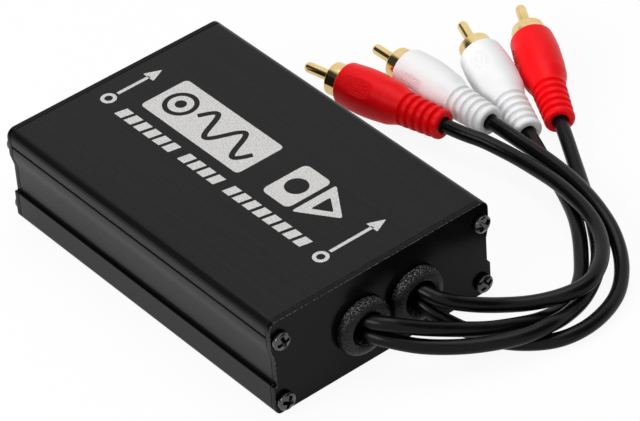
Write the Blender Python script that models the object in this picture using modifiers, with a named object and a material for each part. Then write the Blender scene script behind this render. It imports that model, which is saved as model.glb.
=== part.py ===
"""Four-channel ground loop isolator: an extruded aluminium case, its transformers and its RCA leads.

The case stands on the XY plane with +Z up. Its length runs along Y: the leads leave the input
end at -Y, and the sockets are in the output end at +Y. The origin is at the centre of the
underside. All lengths are in metres.
"""

import math

import bmesh
import bpy
from mathutils import Matrix, Vector

MM = 0.001

# Fit
CLEARANCE = 0.3 * MM
EDGE_CHAMFER = 0.2 * MM

# Case
BODY_WIDTH = 74.0 * MM
BODY_HEIGHT = 30.4 * MM
SHELL_LENGTH = 110.0 * MM
WALL = 1.6 * MM
END_PLATE_THICKNESS = 1.5 * MM
TOP_CORNER_RADIUS = 2.6 * MM
BOTTOM_CORNER_RADIUS = 1.8 * MM
SIDE_RECESS_DEPTH = 1.0 * MM
SHOULDER_BELOW_TOP = 8.6 * MM
SHOULDER_DROP = 3.8 * MM
LEDGE_HEIGHT = 9.3 * MM
CHANNEL_DEPTH = 2.8 * MM
TRIM_GROOVE_BELOW_TOP = 5.0 * MM
TRIM_GROOVE_WIDTH = 0.8 * MM
TRIM_GROOVE_DEPTH = 0.5 * MM

# Board and the slots that hold it
BOARD_THICKNESS = 1.6 * MM
BOARD_UNDERSIDE_HEIGHT = 8.6 * MM
BOARD_INPUT_SETBACK = 11.0 * MM
BOARD_OUTPUT_SETBACK = 1.2 * MM
SOLDER_HOLE_RADIUS = 0.6 * MM
SOLDER_HOLE_PITCH = 4.0 * MM
SOLDER_HOLE_INSET = 4.0 * MM
SOLDER_HOLE_COUNT = 4
SLOT_DEPTH = 1.4 * MM
SLOT_LIP = 1.2 * MM
RIB_THICKNESS = 1.2 * MM

# End screws, M3 pan head with a cross recess
SCREW_SHANK_RADIUS = 1.4 * MM
SCREW_SHANK_LENGTH = 8.0 * MM
SCREW_HEAD_RADIUS = 2.7 * MM
SCREW_HEAD_HEIGHT = 1.7 * MM
SCREW_HEAD_EDGE = 0.9 * MM
SCREW_CROWN_SWEEP = 50
SCREW_TIP_CHAMFER = 0.7 * MM
SCREW_INSET = 3.0 * MM
UPPER_SCREW_BELOW_TOP = 6.2 * MM
LOWER_SCREW_HEIGHT = 3.9 * MM
SCREW_PORT_WALL = 1.2 * MM
CROSS_RECESS_SPAN = 3.0 * MM
CROSS_RECESS_SLOT = 0.75 * MM
CROSS_RECESS_DEPTH = 1.1 * MM
CROSS_RECESS_TAPER = 0.5

# Leads and the rubber grommets that they leave by
CABLE_RADIUS = 2.1 * MM
CABLE_SPACING = 4.6 * MM
CABLE_POINT_SPACING = 7.8 * MM
CABLE_INNER_END = 7.0 * MM
GROMMET_HEIGHT = 13.9 * MM
GROMMET_SPACING = 18.1 * MM
GROMMET_SHIFT = 1.45 * MM
GROMMET_HOLE_RADIUS = 4.8 * MM
GROMMET_NECK_WALL = 1.4 * MM
GROMMET_FLANGE_RADIUS = 8.5 * MM
GROMMET_FLANGE_DEPTH = 3.0 * MM
GROMMET_FLANGE_RIM = 1.2 * MM
GROMMET_INNER_RADIUS = 7.8 * MM
GROMMET_INNER_DEPTH = 1.6 * MM
GROMMET_INNER_CHAMFER = 0.8 * MM
GROMMET_LIP_WIDTH = 1.1 * MM
GROMMET_LIP_DROP = 0.7 * MM
CABLE_OFFSET_IN_GROMMET = 0.3 * MM
CABLE_STRAIGHT_AT_PLUG = 6.7 * MM

# Isolation transformers
CORE_WIDTH = 20.0 * MM
CORE_HEADROOM = 1.8 * MM
CORE_STACK = 6.0 * MM
CORE_LEG_WIDTH = 6.0 * MM
CORE_YOKE = 3.2 * MM
CORE_WINDOW_WIDTH = 4.0 * MM
BOBBIN_WALL = 0.7 * MM
BOBBIN_FLANGE = 0.8 * MM
WINDING_WALL = 1.9 * MM
WINDING_CORNER_RADIUS = 1.4 * MM
WINDING_BORE_RADIUS = 0.4 * MM
BOBBIN_CORNER_RADIUS = 0.8 * MM
BOBBIN_BORE_RADIUS = 0.2 * MM
TRANSFORMER_SPACING_X = 30.0 * MM
TRANSFORMER_SPACING_Y = 34.0 * MM
TRANSFORMER_SHIFT_Y = -6.0 * MM

# RCA sockets at the output end
SOCKET_SLEEVE_RADIUS = 4.15 * MM
SOCKET_SLEEVE_WALL = 0.5 * MM
SOCKET_FLANGE_RADIUS = 5.7 * MM
SOCKET_FLANGE_THICKNESS = 1.3 * MM
SOCKET_REACH = 9.0 * MM
SOCKET_SEAT_DEPTH = 3.3 * MM
SOCKET_CONTACT_RADIUS = 2.1 * MM
SOCKET_CONTACT_WALL = 0.4 * MM
SOCKET_INSULATOR_SETBACK = 0.8 * MM
SOCKET_BLOCK_HEIGHT = 13.0 * MM
SOCKET_BLOCK_DEPTH = 13.5 * MM
SOCKET_BLOCK_MARGIN = 5.7 * MM
SOCKET_BLOCK_SIDE_GAP = 1.0 * MM
SOCKET_BLOCK_EDGE = 0.5 * MM
SOCKET_COUNT = 4

# RCA plugs, measured from the tail where the lead enters
PLUG_TAIL_RADIUS = 4.6 * MM
PLUG_TAIL_LENGTH = 1.7 * MM
PLUG_TAIL_CHAMFER = 0.6 * MM
PLUG_RIB_RADIUS = 4.7 * MM
PLUG_GROOVE_RADIUS = 3.8 * MM
PLUG_RIB_COUNT = 4
PLUG_RIB_PITCH = 2.6 * MM
PLUG_RIB_GAP = 1.2 * MM
PLUG_SHOULDER_LENGTH = 6.0 * MM
PLUG_BODY_RADIUS = 6.9 * MM
PLUG_BODY_LENGTH = 16.4 * MM
PLUG_GRIP_THICKNESS = 12.7 * MM
PLUG_GRIP_LENGTH = 12.0 * MM
PLUG_NOSE_RADIUS = 6.4 * MM
PLUG_NOSE_ROUNDING = 1.1 * MM
PLUG_COLLAR_RADIUS = 4.9 * MM
PLUG_COLLAR_WALL = 0.6 * MM
PLUG_COLLAR_REACH = 4.1 * MM
PLUG_COLLAR_SEAT = 2.4 * MM
PLUG_PIN_RADIUS = 1.6 * MM
PLUG_PIN_REACH = 10.7 * MM
PLUG_INSULATOR_LENGTH = 4.0 * MM
PLUG_CABLE_SEAT = 2.0 * MM

ROUND_SEGMENTS = 18
SMALL_ROUND_SEGMENTS = 12
FINE_ROUND_SEGMENTS = 24
CABLE_RESOLUTION = 2

# Each lead's plug: where its tail lies (mm), then its heading in the XY plane, its tilt and the
# roll of its grip flats (degrees)
PLUG_PLACES = {
    "plug_1": ((68.8, -1.6, 7.5), 100.6, -1.0, 45.0),
    "plug_2": ((79.1, -9.5, 7.5), 89.8, -1.0, 20.0),
    "plug_3": ((85.6, -17.8, 4.7), 70.4, 5.3, 60.0),
    "plug_4": ((95.6, -20.2, 4.7), 61.0, 5.3, 0.0),
}

# Each lead's route over the table (mm), from just outside its grommet to just short of its plug
CABLE_ROUTES = {
    "cable_1": [
        (13.4, -64.8, 14.7), (19.7, -68.8, 11.9), (27.2, -72.1, 9.3), (34.4, -76.2, 8.4),
        (41.4, -80.1, 9.1), (48.8, -81.3, 9.4), (55.9, -78.5, 9.2), (62.5, -72.9, 8.7),
        (67.4, -66.0, 8.4), (70.5, -58.3, 8.5), (72.3, -50.2, 8.4), (73.6, -41.9, 7.9),
        (74.2, -33.7, 7.1), (74.2, -26.2, 6.7), (73.4, -19.7, 6.8), (72.0, -14.0, 7.3),
    ],
    "cable_2": [
        (12.4, -64.8, 9.2), (17.1, -70.9, 5.4), (22.7, -77.1, 2.6), (28.4, -82.9, 2.2),
        (34.7, -86.7, 2.2), (42.1, -88.0, 2.3), (49.9, -86.9, 2.3), (57.4, -83.8, 2.2),
        (63.8, -78.9, 2.4), (69.0, -72.8, 3.4), (72.7, -65.9, 5.1), (75.1, -58.2, 6.6),
        (77.1, -50.1, 7.1), (78.5, -42.0, 7.2), (79.1, -34.3, 7.3), (79.2, -27.7, 7.4),
        (79.2, -21.9, 7.4),
    ],
    "cable_3": [
        (-3.9, -64.2, 16.1), (2.7, -68.6, 13.7), (10.8, -72.3, 10.8), (18.7, -75.8, 8.4),
        (26.4, -78.2, 6.6), (34.1, -78.9, 4.3), (41.9, -78.2, 2.5), (49.2, -75.9, 2.2),
        (55.6, -71.7, 2.2), (61.1, -66.0, 2.7), (66.3, -59.6, 3.5), (71.0, -52.7, 3.3),
        (75.0, -45.6, 2.5), (78.3, -38.4, 2.2), (80.8, -31.2, 2.7),
    ],
    "cable_4": [
        (-4.3, -64.9, 11.1), (1.4, -70.7, 9.5), (9.1, -76.0, 8.1), (17.2, -80.6, 7.5),
        (25.1, -83.7, 7.2), (32.8, -84.6, 6.8), (40.3, -83.2, 5.1), (48.1, -80.9, 4.5),
        (55.7, -76.9, 4.5), (62.4, -71.3, 3.9), (67.9, -65.1, 2.5), (72.2, -59.3, 2.2),
        (76.3, -53.3, 2.2), (80.4, -46.8, 2.2), (84.5, -39.9, 2.4), (88.5, -32.9, 3.1),
    ],
}

# Which grommet and which half of its hole each lead leaves by
CABLE_EXITS = {
    "cable_1": ("right", "upper"),
    "cable_2": ("right", "lower"),
    "cable_3": ("left", "upper"),
    "cable_4": ("left", "lower"),
}

PLUG_COLOURS = {"plug_1": "red", "plug_2": "white", "plug_3": "white", "plug_4": "red"}
SOCKET_COLOURS = ("white", "red", "white", "red")

# Values that several pieces share
HALF_WIDTH = BODY_WIDTH / 2
HALF_LENGTH = SHELL_LENGTH / 2
PLATE_INNER_Y = HALF_LENGTH + CLEARANCE
PLATE_OUTER_Y = PLATE_INNER_Y + END_PLATE_THICKNESS
RECESSED_X = HALF_WIDTH - SIDE_RECESS_DEPTH
SHOULDER_HEIGHT = BODY_HEIGHT - SHOULDER_BELOW_TOP
TRIM_GROOVE_HEIGHT = BODY_HEIGHT - TRIM_GROOVE_BELOW_TOP
UPPER_SCREW_HEIGHT = BODY_HEIGHT - UPPER_SCREW_BELOW_TOP
COVER_WALL_INNER_X = RECESSED_X - WALL
SCREW_X = HALF_WIDTH - SCREW_INSET
SCREW_HOLE_RADIUS = SCREW_SHANK_RADIUS + CLEARANCE
SCREW_PORT_RADIUS = SCREW_HOLE_RADIUS + SCREW_PORT_WALL
CHANNEL_FLOOR_HEIGHT = LEDGE_HEIGHT - CHANNEL_DEPTH
RIB_OUTER_X = COVER_WALL_INNER_X - CLEARANCE
RIB_INNER_X = RIB_OUTER_X - RIB_THICKNESS
LIP_INNER_X = RIB_INNER_X - SLOT_DEPTH
BOARD_TOP_HEIGHT = BOARD_UNDERSIDE_HEIGHT + BOARD_THICKNESS
BOARD_HALF_WIDTH = RIB_INNER_X - CLEARANCE
SEATED_HEIGHT = BOARD_TOP_HEIGHT + CLEARANCE
CORE_HEIGHT = BODY_HEIGHT - WALL - CORE_HEADROOM - SEATED_HEIGHT
GROMMET_NECK_RADIUS = GROMMET_HOLE_RADIUS + GROMMET_NECK_WALL
SOCKET_HEIGHT = SEATED_HEIGHT + SOCKET_BLOCK_HEIGHT / 2
SOCKET_BLOCK_HALF_WIDTH = SCREW_X - SCREW_PORT_RADIUS - SOCKET_BLOCK_SIDE_GAP
SOCKET_SPACING = 2 * (SOCKET_BLOCK_HALF_WIDTH - SOCKET_BLOCK_MARGIN) / (SOCKET_COUNT - 1)
SOCKET_HOLE_RADIUS = SOCKET_SLEEVE_RADIUS + CLEARANCE
SOCKET_SEAT_Y = HALF_LENGTH - SOCKET_SEAT_DEPTH
PLUG_NECK_LENGTH = PLUG_TAIL_LENGTH + PLUG_RIB_COUNT * PLUG_RIB_PITCH + PLUG_RIB_GAP
PLUG_BOOT_LENGTH = PLUG_NECK_LENGTH + PLUG_SHOULDER_LENGTH + PLUG_BODY_LENGTH
PLUG_SEAT = PLUG_BOOT_LENGTH - PLUG_COLLAR_SEAT


# Scene and materials

def clear_scene():
    """Empty the scene of objects and collections."""
    for item in list(bpy.data.objects):
        bpy.data.objects.remove(item, do_unlink=True)
    for collection in list(bpy.data.collections):
        bpy.data.collections.remove(collection)


def new_collection(name):
    """A collection under the scene's own."""
    collection = bpy.data.collections.new(name)
    bpy.context.scene.collection.children.link(collection)
    return collection


def principled(name, colour, roughness, metallic):
    """A Principled BSDF material of one colour (linear RGB)."""
    material = bpy.data.materials.new(name)
    material.use_nodes = True
    shader = material.node_tree.nodes["Principled BSDF"]
    shader.inputs["Base Color"].default_value = (*colour, 1.0)
    shader.inputs["Roughness"].default_value = roughness
    shader.inputs["Metallic"].default_value = metallic
    return material


def make_materials():
    """One material for each finish of the real object."""
    finishes = {
        "black_anodised": ((0.018, 0.018, 0.019), 0.45, 0.6),
        "black_zinc": ((0.02, 0.02, 0.02), 0.3, 0.9),
        "black_rubber": ((0.012, 0.012, 0.012), 0.55, 0.0),
        "cable_jacket": ((0.015, 0.015, 0.015), 0.4, 0.0),
        "red_boot": ((0.75, 0.02, 0.03), 0.35, 0.0),
        "white_boot": ((0.85, 0.85, 0.85), 0.35, 0.0),
        "gold_plate": ((0.83, 0.6, 0.25), 0.2, 1.0),
        "red_insulator": ((0.6, 0.02, 0.02), 0.4, 0.0),
        "white_insulator": ((0.8, 0.8, 0.78), 0.4, 0.0),
        "socket_block": ((0.02, 0.02, 0.02), 0.5, 0.0),
        "board_laminate": ((0.02, 0.12, 0.05), 0.4, 0.0),
        "core_steel": ((0.3, 0.3, 0.3), 0.5, 0.9),
        "bobbin_nylon": ((0.75, 0.7, 0.55), 0.5, 0.0),
        "winding_tape": ((0.75, 0.45, 0.08), 0.4, 0.0),
    }
    return {name: principled(name, *values) for name, values in finishes.items()}


# Shapes

def arc(centre, radius, start_degrees, end_degrees, steps):
    """Points along a circular arc, both ends included."""
    points = []
    for step in range(steps + 1):
        angle = math.radians(start_degrees + (end_degrees - start_degrees) * step / steps)
        points.append((centre[0] + radius * math.cos(angle), centre[1] + radius * math.sin(angle)))
    return points


def circle(centre, radius, segments):
    """A closed ring of points."""
    return arc(centre, radius, 0, 360 - 360 / segments, segments - 1)


def rectangle(half_width, low, high):
    """A closed rectangle, centred across and between two heights."""
    return [(-half_width, low), (half_width, low), (half_width, high), (-half_width, high)]


def rounded_rectangle(half_width, half_height, radius, steps):
    """A closed rectangle about the origin with round corners."""
    points = []
    corners = ((1, 1, 0), (-1, 1, 90), (-1, -1, 180), (1, -1, 270))
    for side_x, side_y, start in corners:
        centre = (side_x * (half_width - radius), side_y * (half_height - radius))
        points += arc(centre, radius, start, start + 90, steps)
    return points


def mirrored(half_outline):
    """A closed outline from its +X half, whose first and last points are on the centre line."""
    other_half = [(-x, y) for x, y in reversed(half_outline[1:-1])]
    return half_outline + other_half


def add_object(name, mesh, material, collection):
    """Link a mesh to the scene as a named object with one material."""
    item = bpy.data.objects.new(name, mesh)
    mesh.materials.clear()
    mesh.materials.append(material)
    collection.objects.link(item)
    return item


def evaluated_mesh(item, name):
    """The object's mesh with its modifiers applied and its doubles welded."""
    depsgraph = bpy.context.evaluated_depsgraph_get()
    mesh = bpy.data.meshes.new_from_object(item.evaluated_get(depsgraph))
    mesh.name = name
    edit = bmesh.new()
    edit.from_mesh(mesh)
    bmesh.ops.remove_doubles(edit, verts=edit.verts, dist=0.001 * MM)
    edit.to_mesh(mesh)
    edit.free()
    return mesh


def flat_section(name, outline, holes, thickness, collection):
    """A 2D curve of an outline and its holes, thickened both ways from its own XY plane."""
    curve = bpy.data.curves.new(name, "CURVE")
    curve.dimensions = "2D"
    curve.fill_mode = "BOTH"
    curve.extrude = thickness / 2
    for ring in [outline] + list(holes):
        spline = curve.splines.new("POLY")
        spline.points.add(len(ring) - 1)
        for point, (x, y) in zip(spline.points, ring):
            point.co = (x, y, 0.0, 1.0)
        spline.use_cyclic_u = True
    item = bpy.data.objects.new(name, curve)
    collection.objects.link(item)
    return item


def section_mesh(name, outline, holes, thickness, collection):
    """The same section as a welded mesh."""
    item = flat_section(name + "_section", outline, holes, thickness, collection)
    bpy.context.view_layer.update()
    mesh = evaluated_mesh(item, name)
    bpy.data.objects.remove(item, do_unlink=True)
    return mesh


def stand_section(mesh, centre_y):
    """Turn a section drawn in XY up into XZ, so that its thickness runs along Y."""
    mesh.transform(Matrix.Translation((0.0, centre_y, 0.0)) @ Matrix.Rotation(math.radians(90), 4, "X"))
    return mesh


def turned_mesh(name, profile, closed, segments, collection):
    """A profile of (radius, height) turned about Z; it runs down the outer side, top to bottom."""
    mesh = bpy.data.meshes.new(name + "_profile")
    edges = [(index, index + 1) for index in range(len(profile) - 1)]
    if closed:
        edges.append((len(profile) - 1, 0))
    mesh.from_pydata([(radius, 0.0, height) for radius, height in profile], edges, [])
    item = bpy.data.objects.new(name + "_profile", mesh)
    collection.objects.link(item)
    screw = item.modifiers.new("Turn", "SCREW")
    screw.axis = "Z"
    screw.angle = math.radians(360)
    screw.steps = segments
    screw.render_steps = segments
    screw.use_merge_vertices = True
    screw.merge_threshold = 0.001 * MM
    bpy.context.view_layer.update()
    turned = evaluated_mesh(item, name)
    bpy.data.objects.remove(item, do_unlink=True)
    turned.shade_smooth()
    turned.set_sharp_from_angle(angle=math.radians(35))
    return turned


def add_cutter(name, mesh, cutters):
    """A hidden cutter object."""
    cutter = bpy.data.objects.new(name, mesh)
    cutters.objects.link(cutter)
    cutter.hide_render = True
    cutter.display_type = "WIRE"
    return cutter


def cut(item, cutter):
    """Take the cutter's shape out of an object with a live Boolean."""
    boolean = item.modifiers.new(cutter.name, "BOOLEAN")
    boolean.operation = "DIFFERENCE"
    boolean.solver = "EXACT"
    boolean.object = cutter
    return boolean


# Case

def case_outline():
    """The outline of both end plates: the closed case seen from its end."""
    half = [(0.0, BODY_HEIGHT)]
    half += arc((HALF_WIDTH - TOP_CORNER_RADIUS, BODY_HEIGHT - TOP_CORNER_RADIUS),
                TOP_CORNER_RADIUS, 90, 0, 6)
    half += [
        (HALF_WIDTH, SHOULDER_HEIGHT),
        (RECESSED_X, SHOULDER_HEIGHT - SHOULDER_DROP),
        (RECESSED_X, LEDGE_HEIGHT),
        (HALF_WIDTH, LEDGE_HEIGHT),
    ]
    half += arc((HALF_WIDTH - BOTTOM_CORNER_RADIUS, BOTTOM_CORNER_RADIUS),
                BOTTOM_CORNER_RADIUS, 0, -90, 4)
    half.append((0.0, 0.0))
    return mirrored(half)


def top_shell_outline():
    """The cover: roof, trim groove, shoulder and side wall, with a port for each upper screw."""
    roof_height = BODY_HEIGHT - WALL
    wall_foot = CHANNEL_FLOOR_HEIGHT + CLEARANCE
    port_left = SCREW_X - SCREW_PORT_RADIUS
    half = [(0.0, BODY_HEIGHT)]
    half += arc((HALF_WIDTH - TOP_CORNER_RADIUS, BODY_HEIGHT - TOP_CORNER_RADIUS),
                TOP_CORNER_RADIUS, 90, 0, 6)
    half += [
        (HALF_WIDTH, TRIM_GROOVE_HEIGHT + TRIM_GROOVE_WIDTH / 2),
        (HALF_WIDTH - TRIM_GROOVE_DEPTH, TRIM_GROOVE_HEIGHT),
        (HALF_WIDTH, TRIM_GROOVE_HEIGHT - TRIM_GROOVE_WIDTH / 2),
        (HALF_WIDTH, SHOULDER_HEIGHT),
        (RECESSED_X, SHOULDER_HEIGHT - SHOULDER_DROP),
        (RECESSED_X, wall_foot),
        (COVER_WALL_INNER_X, wall_foot),
        (COVER_WALL_INNER_X, UPPER_SCREW_HEIGHT - SCREW_PORT_RADIUS),
    ]
    half += arc((SCREW_X, UPPER_SCREW_HEIGHT), SCREW_PORT_RADIUS, 270, 180, 5)
    half += [(port_left, roof_height), (0.0, roof_height)]
    return mirrored(half)


def bottom_shell_outline():
    """The tray: floor, side strips, the channels that the cover slides in and the board slots."""
    port_left = SCREW_X - SCREW_PORT_RADIUS
    side_strip_inner = RECESSED_X + CLEARANCE
    reach = (SCREW_X - RIB_INNER_X) / SCREW_PORT_RADIUS
    port_end = 180 - math.degrees(math.acos(reach))
    slot_floor = BOARD_UNDERSIDE_HEIGHT - CLEARANCE
    slot_roof = BOARD_TOP_HEIGHT + CLEARANCE
    half = [(0.0, 0.0)]
    half += arc((HALF_WIDTH - BOTTOM_CORNER_RADIUS, BOTTOM_CORNER_RADIUS),
                BOTTOM_CORNER_RADIUS, -90, 0, 4)
    half += [
        (HALF_WIDTH, LEDGE_HEIGHT),
        (side_strip_inner, LEDGE_HEIGHT),
        (side_strip_inner, CHANNEL_FLOOR_HEIGHT),
        (RIB_OUTER_X, CHANNEL_FLOOR_HEIGHT),
        (RIB_OUTER_X, slot_roof + SLOT_LIP),
        (LIP_INNER_X, slot_roof + SLOT_LIP),
        (LIP_INNER_X, slot_roof),
        (RIB_INNER_X, slot_roof),
        (RIB_INNER_X, slot_floor),
        (LIP_INNER_X, slot_floor),
        (LIP_INNER_X, slot_floor - SLOT_LIP),
        (RIB_INNER_X, slot_floor - SLOT_LIP),
    ]
    half += arc((SCREW_X, LOWER_SCREW_HEIGHT), SCREW_PORT_RADIUS, port_end, 180, 4)
    half += [(port_left, WALL), (0.0, WALL)]
    return mirrored(half)


def screw_holes(heights):
    """The screw holes on both sides at each height."""
    holes = []
    for height in heights:
        for side in (-1, 1):
            holes.append(circle((side * SCREW_X, height), SCREW_HOLE_RADIUS, SMALL_ROUND_SEGMENTS))
    return holes


def build_case(materials, parts):
    """Both shells and both end plates."""
    shells = (
        ("top_shell", top_shell_outline(), [UPPER_SCREW_HEIGHT]),
        ("bottom_shell", bottom_shell_outline(), [LOWER_SCREW_HEIGHT]),
    )
    for name, outline, heights in shells:
        mesh = section_mesh(name, outline, screw_holes(heights), SHELL_LENGTH, parts)
        add_object(name, stand_section(mesh, 0.0), materials["black_anodised"], parts)

    plate_centre_y = (PLATE_INNER_Y + PLATE_OUTER_Y) / 2
    grommet_holes = [
        circle((grommet_x(side), GROMMET_HEIGHT), GROMMET_NECK_RADIUS + CLEARANCE, FINE_ROUND_SEGMENTS)
        for side in ("left", "right")
    ]
    socket_holes = [
        circle((x, SOCKET_HEIGHT), SOCKET_HOLE_RADIUS, ROUND_SEGMENTS) for x in socket_positions()
    ]
    plates = (
        ("input_end_plate", grommet_holes, -plate_centre_y),
        ("output_end_plate", socket_holes, plate_centre_y),
    )
    for name, openings, centre_y in plates:
        holes = openings + screw_holes([UPPER_SCREW_HEIGHT, LOWER_SCREW_HEIGHT])
        mesh = section_mesh(name, case_outline(), holes, END_PLATE_THICKNESS, parts)
        add_object(name, stand_section(mesh, centre_y), materials["black_anodised"], parts)


# Screws

def cross_recess_mesh(cutters):
    """A plus-shaped wedge, wide at the head's face (Z = 0) and narrow at its foot."""
    span = CROSS_RECESS_SPAN / 2
    slot = CROSS_RECESS_SLOT / 2
    corner = [(span, -slot), (span, slot), (slot, slot)]
    outline = []
    for turn in range(4):
        rotation = Matrix.Rotation(math.radians(90) * turn, 2)
        outline += [tuple(rotation @ Vector(point)) for point in corner]
    mesh = section_mesh("cross_recess", outline, [], 2 * CROSS_RECESS_DEPTH, cutters)
    for vertex in mesh.vertices:
        if vertex.co.z < 0:
            vertex.co.x *= CROSS_RECESS_TAPER
            vertex.co.y *= CROSS_RECESS_TAPER
    return mesh


def screw_mesh(parts, cutters):
    """A pan-head screw along Z, with its head's underside at Z = 0 and its shank below."""
    crown_radius = SCREW_HEAD_RADIUS / math.sin(math.radians(SCREW_CROWN_SWEEP))
    crown_drop = crown_radius * (1 - math.cos(math.radians(SCREW_CROWN_SWEEP)))
    squash = (SCREW_HEAD_HEIGHT - SCREW_HEAD_EDGE) / crown_drop
    crown = [
        (radius, SCREW_HEAD_HEIGHT - (crown_radius - height) * squash)
        for radius, height in arc((0.0, 0.0), crown_radius, 90, 90 - SCREW_CROWN_SWEEP, 4)
    ]
    profile = crown + [
        (SCREW_HEAD_RADIUS, 0.0),
        (SCREW_SHANK_RADIUS, 0.0),
        (SCREW_SHANK_RADIUS, SCREW_TIP_CHAMFER - SCREW_SHANK_LENGTH),
        (SCREW_SHANK_RADIUS - SCREW_TIP_CHAMFER, -SCREW_SHANK_LENGTH),
        (0.0, -SCREW_SHANK_LENGTH),
    ]
    blank = turned_mesh("end_screw_blank", profile, False, SMALL_ROUND_SEGMENTS, parts)
    item = bpy.data.objects.new("end_screw_blank", blank)
    parts.objects.link(item)
    cutter = add_cutter("cross_recess_cutter", cross_recess_mesh(cutters), cutters)
    cutter.location.z = SCREW_HEAD_HEIGHT
    cut(item, cutter)
    bpy.context.view_layer.update()
    mesh = evaluated_mesh(item, "end_screw")
    bpy.data.objects.remove(item, do_unlink=True)
    return mesh


def build_screws(materials, parts, cutters):
    """Four screws in each end plate, heads outside."""
    mesh = screw_mesh(parts, cutters)
    places = (
        ("upper_left", -1, UPPER_SCREW_HEIGHT),
        ("upper_right", 1, UPPER_SCREW_HEIGHT),
        ("lower_left", -1, LOWER_SCREW_HEIGHT),
        ("lower_right", 1, LOWER_SCREW_HEIGHT),
    )
    for end, direction in (("input", -1), ("output", 1)):
        for place, side, height in places:
            screw = add_object(f"{end}_screw_{place}", mesh, materials["black_zinc"], parts)
            screw.location = (side * SCREW_X, direction * (PLATE_OUTER_Y + CLEARANCE), height)
            screw.rotation_euler.x = math.radians(-90 * direction)


# Grommets and leads

def grommet_x(side):
    """Where a grommet's centre is across the input end plate."""
    sign = {"left": -1, "right": 1}[side]
    return GROMMET_SHIFT + sign * GROMMET_SPACING / 2


def grommet_profile():
    """Half section of a domed rubber grommet; height 0 is the plate's outer face."""
    seat = CLEARANCE
    back = -END_PLATE_THICKNESS - CLEARANCE
    crown = GROMMET_HOLE_RADIUS + GROMMET_LIP_WIDTH
    run = GROMMET_FLANGE_RADIUS - crown
    rise = GROMMET_FLANGE_DEPTH - GROMMET_FLANGE_RIM
    dome = [
        (crown + run * math.sin(math.radians(angle)),
         seat + GROMMET_FLANGE_RIM + rise * math.cos(math.radians(angle)))
        for angle in (0, 25, 50, 72, 90)
    ]
    return [(GROMMET_HOLE_RADIUS, seat + GROMMET_FLANGE_DEPTH - GROMMET_LIP_DROP)] + dome + [
        (GROMMET_FLANGE_RADIUS, seat),
        (GROMMET_NECK_RADIUS, seat),
        (GROMMET_NECK_RADIUS, back),
        (GROMMET_INNER_RADIUS, back),
        (GROMMET_INNER_RADIUS - GROMMET_INNER_CHAMFER, back - GROMMET_INNER_DEPTH),
        (GROMMET_HOLE_RADIUS, back - GROMMET_INNER_DEPTH),
    ]


def build_grommets(materials, parts):
    """A grommet in each hole of the input end plate."""
    mesh = turned_mesh("grommet", grommet_profile(), True, FINE_ROUND_SEGMENTS, parts)
    for side in ("left", "right"):
        grommet = add_object(f"grommet_{side}", mesh, materials["black_rubber"], parts)
        grommet.location = (grommet_x(side), -PLATE_OUTER_Y, GROMMET_HEIGHT)
        grommet.rotation_euler.x = math.radians(90)


def plug_frame(name):
    """The plug's tail as a vector, and the unit vector from its tail to its pin."""
    tail, heading, tilt, _roll = PLUG_PLACES[name]
    across = math.cos(math.radians(tilt))
    direction = Vector((
        across * math.cos(math.radians(heading)),
        across * math.sin(math.radians(heading)),
        math.sin(math.radians(tilt)),
    ))
    return Vector(tail) * MM, direction


def cable_route(name):
    """The lead's route points: through its grommet, over the table and into its plug's tail."""
    side, level = CABLE_EXITS[name]
    x = grommet_x(side) + CABLE_OFFSET_IN_GROMMET
    z = GROMMET_HEIGHT + {"upper": 0.5, "lower": -0.5}[level] * CABLE_SPACING
    tail, direction = plug_frame(name.replace("cable", "plug"))
    start = Vector((x, CABLE_INNER_END - HALF_LENGTH, z))
    leave = Vector((x, -PLATE_OUTER_Y - CLEARANCE - GROMMET_FLANGE_DEPTH / 2, z))
    inside = [start, (start + leave) / 2, leave]
    outside = [Vector(point) * MM for point in CABLE_ROUTES[name]]
    end = [tail - direction * CABLE_STRAIGHT_AT_PLUG,
           tail + direction * (PLUG_CABLE_SEAT - CLEARANCE)]
    return inside + outside + end


def smooth_points(route, steps):
    """Points of a Catmull-Rom curve through a route, the same number for each span."""
    padded = [2 * route[0] - route[1]] + route + [2 * route[-1] - route[-2]]
    points = []
    for before, start, end, after in zip(padded, padded[1:], padded[2:], padded[3:]):
        for step in range(steps):
            t = step / steps
            points.append(0.5 * (
                2 * start
                + (end - before) * t
                + (2 * before - 5 * start + 4 * end - after) * t ** 2
                + (3 * start - before - 3 * end + after) * t ** 3
            ))
    return points + [route[-1]]


def evenly_spaced(points, spacing):
    """Points at equal distances along a line of points, both ends kept."""
    lengths = [0.0]
    for start, end in zip(points, points[1:]):
        lengths.append(lengths[-1] + (end - start).length)
    count = max(2, round(lengths[-1] / spacing))
    spaced = []
    index = 0
    for number in range(count + 1):
        target = lengths[-1] * number / count
        while index < len(points) - 2 and lengths[index + 1] < target:
            index += 1
        share = (target - lengths[index]) / (lengths[index + 1] - lengths[index])
        spaced.append(points[index].lerp(points[index + 1], min(share, 1.0)))
    return spaced


def cable_points(name):
    """The lead's points: straight in its grommet, evenly spaced outside and straight into its plug."""
    steps = 12
    route = cable_route(name)
    smooth = smooth_points(route, steps)
    free_length = smooth[2 * steps:(len(route) - 2) * steps + 1]
    return [route[0]] + evenly_spaced(free_length, CABLE_POINT_SPACING) + [route[-1]]


def build_cables(materials, parts):
    """Four round leads, each a bevelled curve along its route."""
    for name in CABLE_ROUTES:
        points = cable_points(name)
        curve = bpy.data.curves.new(name, "CURVE")
        curve.dimensions = "3D"
        curve.bevel_depth = CABLE_RADIUS
        curve.bevel_resolution = CABLE_RESOLUTION
        curve.use_fill_caps = True
        spline = curve.splines.new("POLY")
        spline.points.add(len(points) - 1)
        for spline_point, point in zip(spline.points, points):
            spline_point.co = (*point, 1.0)
        curve.materials.append(materials["cable_jacket"])
        parts.objects.link(bpy.data.objects.new(name, curve))


# Plugs

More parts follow.
